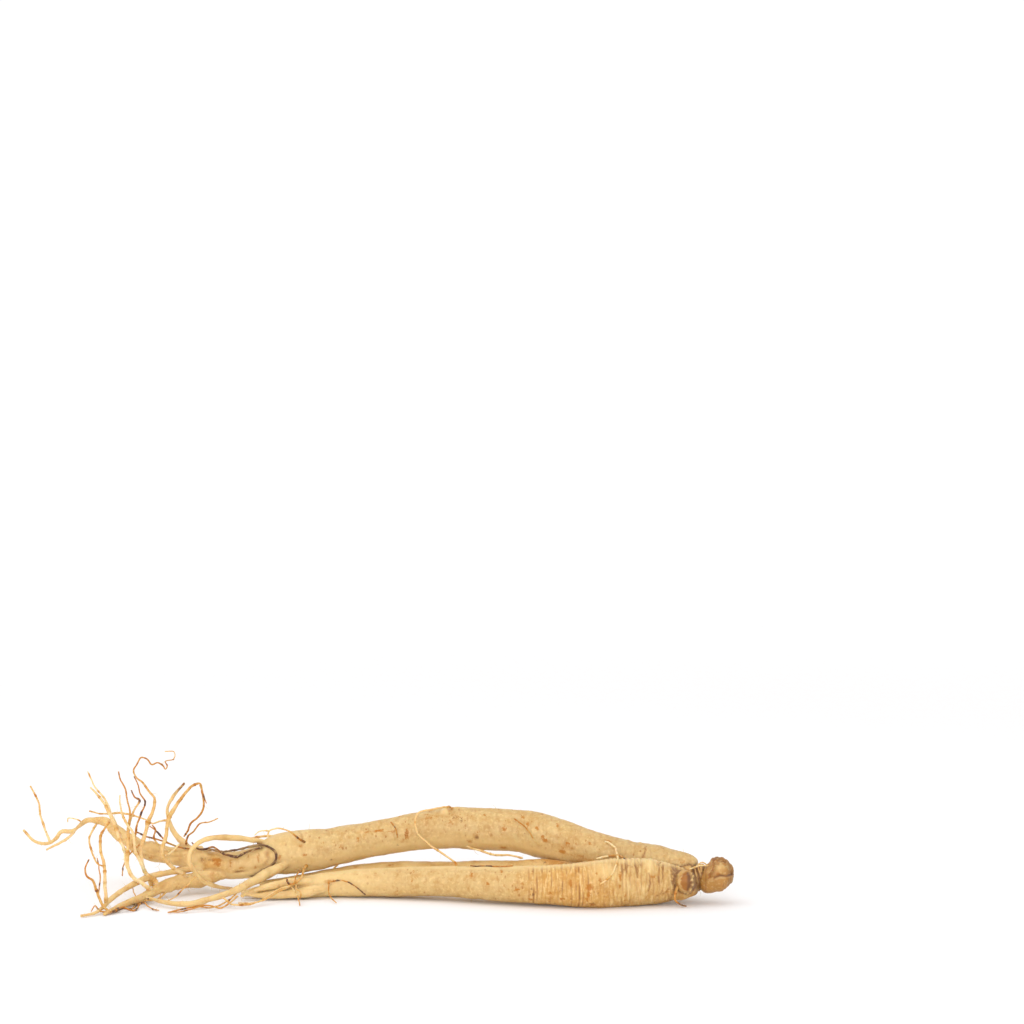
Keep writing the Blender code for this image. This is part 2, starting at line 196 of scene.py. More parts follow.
TAIL = [
    (-43, 5.7, 7.6, 6.6), (-46.5, 6.5, 8, 7.2), (-52, 9, 9.5, 6), (-57, 11, 9.5, 4.9),
    (-64, 13.5, 10.5, 4.9), (-69.5, 16, 12.5, 4.3), (-73.5, 18, 15, 3.6), (-77, 20, 17.5, 2.6),
    (-80.5, 22, 18, 2), (-83.5, 24, 17.5, 1.5), (-86, 25.5, 15.5, 1.3),
]
THIRD_LEG = [
    (63, -13.5, 7.5, 6), (57, -8, 7.5, 6.8), (50, -2, 7, 7.4), (41, 3, 5.6, 7.8), (31.5, 6, 4.7, 7.9),
    (18.5, 8.5, 3.9, 8.2), (7, 9.5, 3.8, 8), (-2.5, 9, 3.7, 7.3), (-10, 8, 3.3, 6.2),
    (-17.5, 6.5, 2.7, 4.9), (-24.5, 5.5, 2.3, 3.4), (-31, 4.5, 2, 2.3),
]
NECK = [(88, -11, 6.5, 6.6), (90, -11.5, 6.7, 7.4), (92.5, -12, 7, 7.4), (95, -12.7, 7.5, 7)]
BUD = [
    (94.4, -12.6, 7, 6.6), (95.5, -12.9, 7, 7.9), (97.5, -13.3, 7.8, 9.2),
    (99.2, -13.5, 8.3, 9.7), (100.6, -13.5, 8.4, 8.8), (101.6, -13.5, 8.4, 7.3), (102.1, -13.5, 8.4, 5.9),
]
CROWN_FOOT = [
    (83.5, -15, 5.4, 8), (88, -15.4, 4.8, 7), (90.2, -15.4, 4.7, 5.6), (91.8, -15.2, 4.8, 4.2),
    (92.8, -15, 5, 2.4),
]
KNOB = [(89, -12, 6.5, 4.5), (89.3, -16, 6.8, 5.6), (89.5, -18.8, 7, 6.2), (89.6, -20, 7, 5)]

# The main tubes in the order they are laid: route, sides, step between cross-sections and how far
# the ends bulge. The two stout legs also say from where along X a finer step is used, and that step.
MAIN_TUBES = {
    "lower_leg": (LOWER_LEG, 84, 0.5, 0.5, 43, 0.2),
    "upper_leg": (UPPER_LEG, 76, 0.5, 0.5, 70, 0.3),
    "third_leg": (THIRD_LEG, 44, 0.6, 0.5),
    "tail": (TAIL, 36, 0.5, 0.5),
    "neck": (NECK, 64, 0.16, 0.5),
    "crown_foot": (CROWN_FOOT, 40, 0.3, 0.5),
    "bud": (BUD, 120, 0.18, 1.1),
    "knob": (KNOB, 64, 0.25, 1.3),
}

# How the side roots' tubes are laid; roots from the stout diameter on get more sides.
SIDE_ROOT_STEP = 0.45
SIDE_ROOT_BULGE = 0.4
STOUT_SIDE_ROOT = 2.5
STOUT_SIDES = 24
THIN_SIDES = 14

# Thick side roots: how golden and how bark-brown each one is, then its route.
SIDE_ROOTS = {
    "lower_branch": (0.75, 0, [
        (-37, 5.2, 7.6, 3.4), (-42, 4, 6, 4.2), (-47, 2.2, 4.4, 4.4), (-51, 1, 4, 4.3), (-54, -1, 3.8, 4.1),
        (-57.5, -4, 3.2, 3.6), (-60.5, -8, 2.4, 2.7), (-63.5, -13.5, 1.5, 2.4),
        (-66, -19, 1.3, 2), (-68.5, -24, 1.1, 1.7), (-70, -29, 0.9, 1.2), (-71.5, -33, 0.6, 0.8),
    ]),
    "middle_branch": (0.55, 0, [
        (-45, 5.5, 7.2, 2), (-52, 2, 6.9, 1.9), (-56.5, -1, 6.7, 1.7), (-61, -5, 6.4, 1.7),
        (-65, -11, 5.4, 1.7), (-68.5, -17, 4.2, 1.5), (-71, -23, 2.8, 1.4), (-72.5, -28, 1.6, 1.1),
        (-75, -33.5, 0.7, 0.8), (-77.5, -35.5, 0.6, 0.7),
    ]),
    "front_root": (0.25, 0.05, [
        (-21, 7, 9.5, 1.8), (-24, 2, 8.5, 2.4), (-26.5, -1, 7.5, 2.8), (-30, -6, 6.3, 2.7),
        (-34, -11.5, 4.9, 2.2), (-39, -17, 3.4, 1.9), (-44, -21, 2.4, 1.7), (-49, -23, 1.6, 1.6),
        (-52, -22.5, 1.5, 1.4), (-57.5, -18.5, 1.5, 1.2), (-61.5, -13, 1.5, 0.8),
    ]),
    "pale_loop": (0.3, 0, [
        (-27.5, 7, 13, 1.6), (-31, 5, 14.6, 1.6), (-33.5, 3, 15.3, 1.6), (-37.5, 0, 16.3, 1.6),
        (-42, -3, 17, 1.5), (-45, -5, 17, 1.5), (-48, -7, 16, 1.4), (-50, -8, 13.8, 1.4),
        (-50.5, -8, 11, 1.4), (-49, -7, 8, 1.4), (-47, -5, 5, 1.3), (-44.5, -2, 3.2, 1.2),
        (-42, 2, 1.7, 1), (-39.5, 6, 0.8, 0.7),
    ]),
    "dark_arc": (0, 1, [
        (-32, 4.5, 14, 0.7), (-30, 3, 13.8, 0.8), (-28.2, 1.8, 13.2, 0.75), (-26.8, 1.1, 12.2, 0.7),
        (-26.5, 0.9, 11, 0.7), (-26.8, 0.9, 9.5, 0.75), (-28, 1, 8.2, 0.8), (-29.8, 1.4, 7, 0.8),
        (-31.8, 1.9, 5.8, 0.8), (-33.5, 2.6, 5, 0.7),
    ]),
    "dark_wisp": (0, 1, [
        (-30.2, 3, 13.9, 0.7), (-32.8, 2.5, 13.7, 0.7), (-35.8, 2.5, 13, 0.7), (-38, 2.3, 12.5, 0.65),
        (-40.2, 2.3, 12.2, 0.6), (-43, 3, 12, 0.7), (-45, 3.6, 12.4, 0.6), (-46.5, 4.3, 12, 0.55),
    ]),
    "tail_fork": (0.3, 0, [
        (-84.5, 24.5, 16.8, 1.3), (-88, 26.5, 14, 1.2), (-91.5, 28, 13.5, 1.2),
        (-93, 29, 11.5, 1.1), (-95, 30, 10, 1), (-99.5, 32, 10, 0.9), (-103.3, 35, 12.8, 0.7),
    ]),
    "pale_shoot": (0.35, 0, [
        (-50.5, 8.5, 10, 2), (-53, 10, 12.5, 2), (-55.5, 12, 14.5, 1.7), (-57.5, 14, 17, 1.3),
        (-58.5, 15, 19.5, 1), (-59, 16, 22, 0.9), (-57.5, 18, 25.5, 0.9), (-54.5, 20, 29, 0.6),
    ]),
    "end_fork": (0.15, 0, [
        (-14, -4.5, 4.4, 2.4), (-19, -6.2, 5, 2.3), (-24, -7.5, 4.6, 2.1), (-28.5, -8.5, 3.8, 1.9),
        (-32.5, -9.2, 2.6, 1.6), (-35.5, -9.5, 1.4, 1),
    ]),
    "end_lobe": (0.3, 0, [
        (-12, -6, 3, 2.6), (-17, -7.5, 2.2, 2.8), (-22, -8.2, 1.7, 2.5), (-27, -8.8, 1.5, 2.1),
        (-31, -9.4, 1.6, 1.6), (-33.5, -9.8, 1.8, 1),
    ]),
}

# Thin rootlets: tint at the base and at the tip (0 cream, 1 dark brown), then the route.
ROOTLETS = {
    "tall_rootlet": (0.3, 0.74, [
        (-59.5, -6.5, 2.8, 1.5), (-60.5, -6, 5, 1.4), (-62, -7, 6.5, 1.3), (-63.5, -8, 9, 1.2),
        (-64, -8, 12.5, 1.2), (-64, -8, 15, 1.2), (-63.5, -7.5, 17, 1.3), (-62.5, -7, 20, 1.1),
        (-62, -6.5, 22, 1.4), (-61, -6, 24.5, 1), (-60.5, -5, 26.5, 1), (-60.5, -5, 28.5, 0.8),
        (-62, -5, 30.5, 0.7), (-64, -4, 33, 0.6), (-66, -3, 34.5, 0.5), (-66.5, -3, 36, 0.5),
        (-65.5, -3, 38, 0.45), (-64.5, -2.8, 39.8, 0.45), (-63, -2, 39.3, 0.45), (-61.5, -1, 37.5, 0.5),
        (-60, 0, 38, 0.45), (-58.5, 1, 37, 0.45), (-58, 1, 36, 0.4), (-57.5, 2, 37, 0.4),
        (-58, 2, 38, 0.35), (-55.5, 3, 38.5, 0.3),
    ]),
    "dark_twin": (0.66, 0.84, [
        (-64, -8, 12, 0.8), (-65.5, -6, 13.5, 0.8), (-66.5, -5, 15, 0.7), (-66, -4, 18.5, 0.7),
        (-65.5, -4, 21, 0.6), (-64.5, -3, 23.5, 0.55), (-63.5, -3, 27.5, 0.5), (-65, -2, 29.5, 0.45),
        (-65.5, -2, 32, 0.4), (-66.5, -2.5, 34.5, 0.35),
    ]),
    "near_rootlet": (0.15, 0.8, [
        (-60, -7.5, 2.4, 1.4), (-61, -9.5, 3, 1.3), (-63.5, -12, 5.5, 1.3), (-65.5, -13, 7, 1.2),
        (-67, -13, 9.5, 1.1), (-67.5, -12, 13, 1.1), (-67.5, -10, 17.5, 1), (-67.5, -9, 21, 1),
        (-67, -9, 23, 0.9), (-67, -9, 25.5, 0.6), (-68, -8, 29, 0.5), (-68.5, -8, 32, 0.5),
        (-70, -7, 34.5, 0.45), (-70.5, -7, 36.5, 0.4),
    ]),
    "near_twin": (0.4, 0.9, [
        (-67, -9, 22.5, 0.7), (-66, -8, 25.5, 0.6), (-64.5, -7, 28.5, 0.6), (-66, -6, 29, 0.5),
        (-67, -6, 31, 0.4),
    ]),
    "leaning_rootlet": (0.15, 0.35, [
        (-66.5, -13, 8.5, 1), (-68, -11.5, 11.5, 1.1), (-68.5, -10, 14.5, 1), (-69.5, -9, 16.5, 1),
        (-71, -7, 19.5, 1), (-72.5, -5, 22.5, 1), (-74, -3, 25, 0.9), (-76.5, 0, 28, 0.7),
        (-79.5, 3, 30.5, 0.5),
    ]),
    "leaning_twin": (0.2, 0.25, [
        (-68.5, -10.5, 14, 0.8), (-70.5, -5, 18.5, 0.9), (-72, -2, 21, 0.9), (-73.5, 0, 23.5, 0.8),
        (-74.5, 2, 25.5, 0.7), (-76, 4, 27.5, 0.6), (-78.5, 7, 29.5, 0.5), (-81.5, 11, 34, 0.35),
    ]),
    "arched_rootlet": (0.3, 0.75, [
        (-51.5, 1.5, 4.5, 1.2), (-52.5, -3, 6.5, 1.1), (-55, -5, 8.5, 1.1), (-56.5, -6, 10, 1.2),
        (-58, -8, 13, 1.2), (-58, -8, 15, 1.2), (-57.5, -7, 16.5, 1.2), (-57, -5, 20, 1.1),
        (-56.5, -4, 23, 1.3), (-55.5, -3, 24.5, 1.3), (-54, -2, 27, 0.9), (-52, -1, 29.5, 0.9),
        (-50, 0, 31.5, 0.75), (-48, 0, 31.9, 0.6), (-47.5, 0, 30, 0.6), (-47, 0, 27, 0.6),
        (-47.5, 1, 24, 0.65), (-49, 2, 22, 0.6), (-51, 3, 20, 0.6), (-52, 5, 17.5, 0.55),
        (-53.5, 7, 15.5, 0.5),
    ]),
    "arched_tip": (0.65, 0.85, [(-48, 0, 31.5, 0.5), (-47, -1, 29, 0.4), (-46, -2, 26.5, 0.3)]),
    "drooping_rootlet": (0.85, 0.6, [
        (-53, 9.9, 12.6, 0.7), (-52, 6, 16, 0.5), (-50.5, 4, 17.5, 0.5), (-48.5, 2, 20, 0.45),
        (-45.5, -1, 21, 0.4), (-42.5, -3, 22.5, 0.35),
    ]),
    "back_runner": (0.3, 0.5, [
        (-58.4, 14.9, 19, 0.7), (-61.5, 17, 18.5, 0.55), (-63.5, 18, 17.7, 0.5), (-66, 20, 18.5, 0.5),
        (-69.5, 21, 19.5, 0.6), (-73, 22, 20, 0.7), (-78.5, 24, 19.5, 0.5), (-83, 26, 20, 0.5),
    ]),
    "inner_hook": (0.15, 0.5, [
        (-57.5, 10, 10.5, 0.7), (-60.5, 5, 13.5, 0.5), (-61.5, 3, 16, 0.5), (-61, 2, 18.5, 0.4),
        (-62, 2, 20, 0.3),
    ]),
    "curled_rootlet": (0.25, 0.6, [
        (-72, -25.5, 2.1, 1), (-71.8, -26.5, 4, 1), (-72, -27, 7, 1), (-72, -27, 10.5, 0.9),
        (-72.5, -26, 14, 0.9), (-73.5, -25, 17.5, 0.8), (-73.5, -23, 21, 0.8), (-73, -21, 22, 0.7),
        (-71.5, -19, 24, 0.5),
    ]),
    "front_curl": (0.45, 0.8, [
        (-68.6, -24.3, 1.1, 0.9), (-69, -28, 0.6, 0.9), (-71, -29.5, 1, 0.8), (-72, -30, 2, 0.8),
        (-73, -30, 4, 0.8), (-74, -30, 6.5, 0.8), (-75, -30, 9.5, 0.7), (-76.5, -30, 10.5, 0.6),
        (-77, -30, 13, 0.5), (-76, -30, 15.5, 0.4),
    ]),
    "front_curl_twin": (0.75, 0.8, [
        (-73, -30, 3.5, 0.5), (-73.5, -29, 5, 0.4), (-73, -29, 10, 0.4), (-73.5, -28, 12.5, 0.4),
        (-74, -28, 15.5, 0.3),
    ]),
    "floor_thread": (0.85, 0.9, [
        (-61.5, -12, 1, 0.5), (-64, -17, 0.5, 0.5), (-65.5, -24.5, 0.35, 0.5), (-67, -27, 1, 0.4),
        (-69, -29, 0.5, 0.4),
    ]),
    "tail_twig": (0.2, 0.3, [
        (-86.8, 26, 14.8, 1), (-88.5, 27, 12.5, 0.9), (-92.5, 28, 10, 0.8), (-96, 29, 8, 0.6),
    ]),
    "tail_upright": (0.25, 0.45, [
        (-95, 30, 10, 0.8), (-96.5, 31.2, 14, 0.7), (-98, 32, 18, 0.6), (-98.5, 32, 21.5, 0.55),
        (-101, 33, 26.5, 0.5),
    ]),
    "hanging_thread": (0.45, 0.35, [
        (25, 9.5, 21.5, 0.8), (23.5, 8, 23.8, 0.6), (22, 5.5, 24.4, 0.6), (18, 3.5, 24, 0.6),
        (14, 3, 22.9, 0.6), (13.1, 1.7, 20.2, 0.6), (14.2, 0.8, 17.3, 0.6), (16.5, 0, 15, 0.6),
        (21.5, -3, 12, 0.6), (25, -7, 9.8, 0.5), (24.5, -9.5, 7.4, 0.4),
    ]),
    "gap_thread": (0.3, 0.35, [
        (26.5, 8, 13.5, 0.8), (29.5, 4.5, 12.6, 0.6), (32.5, 3, 12, 0.7), (36, 1.5, 11.2, 0.7),
        (40, 2, 11, 0.6), (44, 0, 10.5, 0.6),
    ]),
    "leg_curl": (0.95, 0.2, [
        (-18, 5.5, 13.5, 0.8), (-19, 3, 15, 0.75), (-20.5, 2, 16.2, 0.6), (-23.5, 2, 18.3, 0.5),
        (-26.5, 2, 18.8, 0.5), (-28.5, 2, 18, 0.5), (-29, 2.5, 16, 0.5),
    ]),
    "leg_curl_twin": (0.2, 0.15, [(-28.5, 2, 18, 0.4), (-31, 2, 18, 0.4), (-32.5, 1, 17, 0.3)]),
    "creeping_thread": (0.6, 0.35, [
        (-17.5, 5.5, 8, 0.9), (-18.5, 0, 7.4, 0.8), (-18.5, -6, 7.2, 0.6), (-19, -9, 6.3, 0.6),
        (-21, -10, 4.8, 0.6), (-24, -11, 4, 0.6), (-27.5, -14, 2.4, 0.5), (-31.5, -18.5, 1, 0.5),
        (-36, -19, 1.1, 0.4),
    ]),
    "creeping_twin": (0.3, 0.6, [
        (-21.5, -9, 4, 0.5), (-20, -12, 2.5, 0.45), (-19, -16, 1.5, 0.4), (-18.5, -19, 0.3, 0.35),
    ]),
    "thin_arc": (0.7, 0.95, [
        (-11.5, -7, 4.6, 0.45), (-8, -8.4, 5.7, 0.4), (-4, -8.7, 4.3, 0.4), (-0.5, -8.4, 1.5, 0.35),
    ]),
    "thin_arc_twin": (0.8, 0.6, [
        (-11, -7.5, 5, 0.4), (-11, -9, 2.5, 0.4), (-10, -12, 1, 0.35), (-8.5, -15, 0.4, 0.3),
    ]),
    "second_wisp": (1, 0.9, [
        (-30.5, 2.4, 13.3, 0.6), (-33.2, 1.7, 12.7, 0.6), (-35, 1.5, 12, 0.6), (-38, 1.3, 10.8, 0.6),
        (-40.8, 1.5, 11.2, 0.6), (-43, 3, 12.3, 0.65), (-44.8, 4, 13, 0.6), (-46.5, 4.6, 12.4, 0.6),
        (-49.2, 5, 12.5, 0.5), (-51, 5.5, 14.2, 0.4),
    ]),
    "knob_hair": (0.55, 1, [
        (87.6, -18.4, 7, 0.7), (86.8, -19.6, 5.2, 0.8), (86.3, -20.4, 3.4, 0.75), (86.4, -20.8, 2, 0.6),
        (87.1, -20.8, 1.3, 0.5), (88.3, -20.8, 0.7, 0.45), (89.8, -20.4, 0.4, 0.4),
    ]),
    "crown_thread": (0.1, 0.3, [
        (66.3, -3.4, 15.6, 0.6), (67.8, -5.6, 16, 0.6), (69.6, -9, 15.2, 0.6), (70.4, -14, 14, 0.6),
        (70.3, -18.4, 13.4, 0.6), (70, -20.8, 12.5, 0.6), (69.1, -22.8, 10.9, 0.55),
        (67.9, -24.2, 9.2, 0.5), (66.4, -24.9, 8.2, 0.45), (64.8, -25.1, 7.2, 0.35),
    ]),
    "neck_thread": (0.12, 0.3, [
        (90.6, -14.6, 9.9, 0.3), (91.7, -14.8, 10.4, 0.4), (93.1, -15.2, 10.9, 0.42),
        (94.8, -15.5, 11.1, 0.4), (95.9, -15.3, 10.9, 0.3),
    ]),
    "neck_thread_twin": (0.45, 0.6, [
        (93, -14.9, 11, 0.3), (93.6, -14.6, 11.6, 0.35), (94.5, -14.6, 11.8, 0.35),
        (95.3, -14.8, 11.3, 0.35), (96.1, -15, 11, 0.3),
    ]),
    "gap_flake": (0.02, 0.05, [
        (64.6, -9.8, 12.1, 0.35), (65.7, -10, 12.4, 0.7), (67, -10, 12.7, 0.6), (68.2, -9.8, 12.8, 0.3),
    ]),
    "gap_twig": (0.7, 0.9, [
        (68, -9.8, 12.9, 0.6), (69.8, -10.2, 12.9, 0.7), (71.4, -11, 13, 0.6), (72.4, -13, 12.6, 0.5),
        (72.2, -16, 12.1, 0.4), (71.6, -18.4, 11.4, 0.35),
    ]),
    "tail_droop": (0.35, 0.6, [
        (-80, 21.6, 17.2, 0.7), (-81.5, 15, 13.5, 0.6), (-80, 12, 9, 0.55), (-78.5, 9, 7.4, 0.5),
        (-76, 6, 7.2, 0.4),
    ]),
    "tail_thread": (0.7, 0.85, [
        (-66, 13, 13, 0.5), (-68, 8, 11.5, 0.5), (-69.5, 3, 9.6, 0.45), (-70, -2, 7.5, 0.4),
        (-69.5, -6, 6.5, 0.35),
    ]),
    "front_thread": (0.6, 0.7, [
        (-36, -13.8, 3.6, 0.5), (-39, -20, 1.6, 0.5), (-43, -24.5, 0.8, 0.45), (-46, -27, 1.4, 0.4),
        (-50.5, -28.5, 0.5, 0.4), (-54.5, -29.5, 0.35, 0.35),
    ]),
    "branch_thread": (0.5, 0.7, [
        (-57, -4.4, 1.8, 0.6), (-59.5, -12, 0.7, 0.5), (-62, -18, 1.6, 0.45), (-60, -23, 0.6, 0.4),
        (-57, -27, 0.4, 0.35),
    ]),
    "pale_thin": (0.1, 0.3, [
        (-61.5, -5, 3.5, 1), (-62.2, -6.2, 5.8, 1), (-63.5, -8.2, 9, 0.95), (-64.5, -9, 11.7, 0.95),
        (-65.5, -10, 14.2, 0.9), (-65.7, -10.5, 16.5, 0.85), (-66, -11, 19.7, 0.8), (-67.5, -11.5, 22, 0.7),
        (-69, -11, 25.2, 0.6), (-69.5, -11, 27.5, 0.5), (-69.5, -11, 30.5, 0.4),
    ]),
    "top_loop": (0.5, 0.4, [
        (-56, 2.8, 38.3, 0.35), (-55.4, 3, 39.5, 0.3), (-55.6, 3.2, 40.5, 0.3), (-58.5, 3.5, 40.7, 0.3),
    ]),
    "tail_line": (0.95, 0.9, [
        (-67.5, 12.5, 16, 0.5), (-64.5, 10.6, 15, 0.55), (-60, 8.9, 14.1, 0.5), (-57.5, 8, 13.3, 0.5),
        (-54.5, 7, 12.5, 0.5), (-50, 5.2, 12.2, 0.4),
    ]),
    "tail_line_twin": (0.9, 0.8, [
        (-63.5, 10, 18.2, 0.35), (-61, 9, 16.4, 0.5), (-58.5, 8.2, 13.9, 0.5), (-55.5, 7.3, 12.8, 0.4),
    ]),
    "tail_sprig": (0.2, 0.1, [
        (-59, 4, 10.6, 0.3), (-57.5, 3.2, 11.2, 0.5), (-55.5, 2.6, 12.9, 0.6), (-54.3, 3.4, 14.3, 0.4),
    ]),
    "low_curl": (0.8, 0.9, [
        (-75.5, -31, 1, 0.3), (-74.5, -30, 2.4, 0.4), (-73, -31, 1.1, 0.5), (-70, -31, 0.8, 0.5),
        (-67, -27, 1.4, 0.5), (-65, -27, 0.6, 0.5), (-63, -20, 1.1, 0.5), (-61.2, -13, 1.4, 0.5),
    ]),
    "low_curl_twin": (0.8, 0.6, [(-66, -12, 4, 0.3), (-65.5, -14, 3, 0.35), (-64.5, -15, 1.8, 0.3)]),
    "low_curl_third": (0.6, 0.6, [(-58.5, -10, 2.2, 0.3), (-58, -14, 1.6, 0.3), (-57.5, -17, 0.8, 0.3)]),
    "floor_runner": (0.45, 0.6, [
        (-40, -20, 2.8, 0.6), (-37.5, -22, 1.4, 0.55), (-34.5, -22, 1.1, 0.5), (-30.5, -19, 1.3, 0.5),
        (-27, -15, 2.2, 0.5), (-24.5, -12, 3.4, 0.5), (-21.5, -9.6, 4.4, 0.5),
    ]),
    "floor_runner_twin": (0.6, 0.85, [
        (-36, -19, 3, 0.6), (-38, -25, 2, 0.5), (-40, -28, 1.3, 0.5), (-42.5, -26, 1.6, 0.5),
        (-47, -27, 1.6, 0.5), (-51, -28.5, 1, 0.5), (-54.5, -30, 0.4, 0.4),
    ]),
    "end_loop": (0.75, 0.9, [
        (-23, -8.4, 6.2, 0.4), (-22, -10.4, 5, 0.5), (-21, -10.8, 5, 0.45), (-20.2, -9.6, 6.8, 0.4),
        (-19, -7.4, 8.4, 0.4),
    ]),
    "end_loop_twin": (0.5, 0.6, [
        (-20, -8, 5, 0.4), (-20, -12, 4, 0.4), (-18.5, -15, 3, 0.35), (-18.5, -17, 2, 0.3),
    ]),
    "tail_fuzz": (0.2, 0.2, [
        (-84.5, 21.5, 17.5, 0.4), (-85.5, 20, 18.4, 0.35), (-88.5, 21, 18.5, 0.35),
        (-88.5, 21.5, 17.2, 0.3),
    ]),
    "side_fringe": (0.5, 0.6, [
        (-48.5, -8.2, 6.5, 0.4), (-51.5, -10.5, 4, 0.4), (-54, -12, 1.6, 0.35), (-57, -14, 0.5, 0.3),
    ]),
}

# Hairs that lie on a leg: the leg, the tints, then (x, turn round the leg, diameter).
SURFACE_THREADS = {
    "dark_line": ("upper_leg", 0.95, 0.5, [
        (41.4, 48, 0.5), (42.4, 55, 0.45), (44.8, 69, 0.4), (46.5, 86, 0.4), (47.8, 102, 0.3),
    ]),
    "node_line": ("upper_leg", 0.9, 0.6, [
        (6.1, 38, 0.5), (7, 50, 0.35), (7.8, 72, 0.35), (8.1, 95, 0.3),
    ]),
    "leg_line": ("lower_leg", 0.95, 0.9, [
        (29, 2, 0.35), (33, 6, 0.4), (37, 10, 0.35), (41, 8, 0.3),
    ]),
}

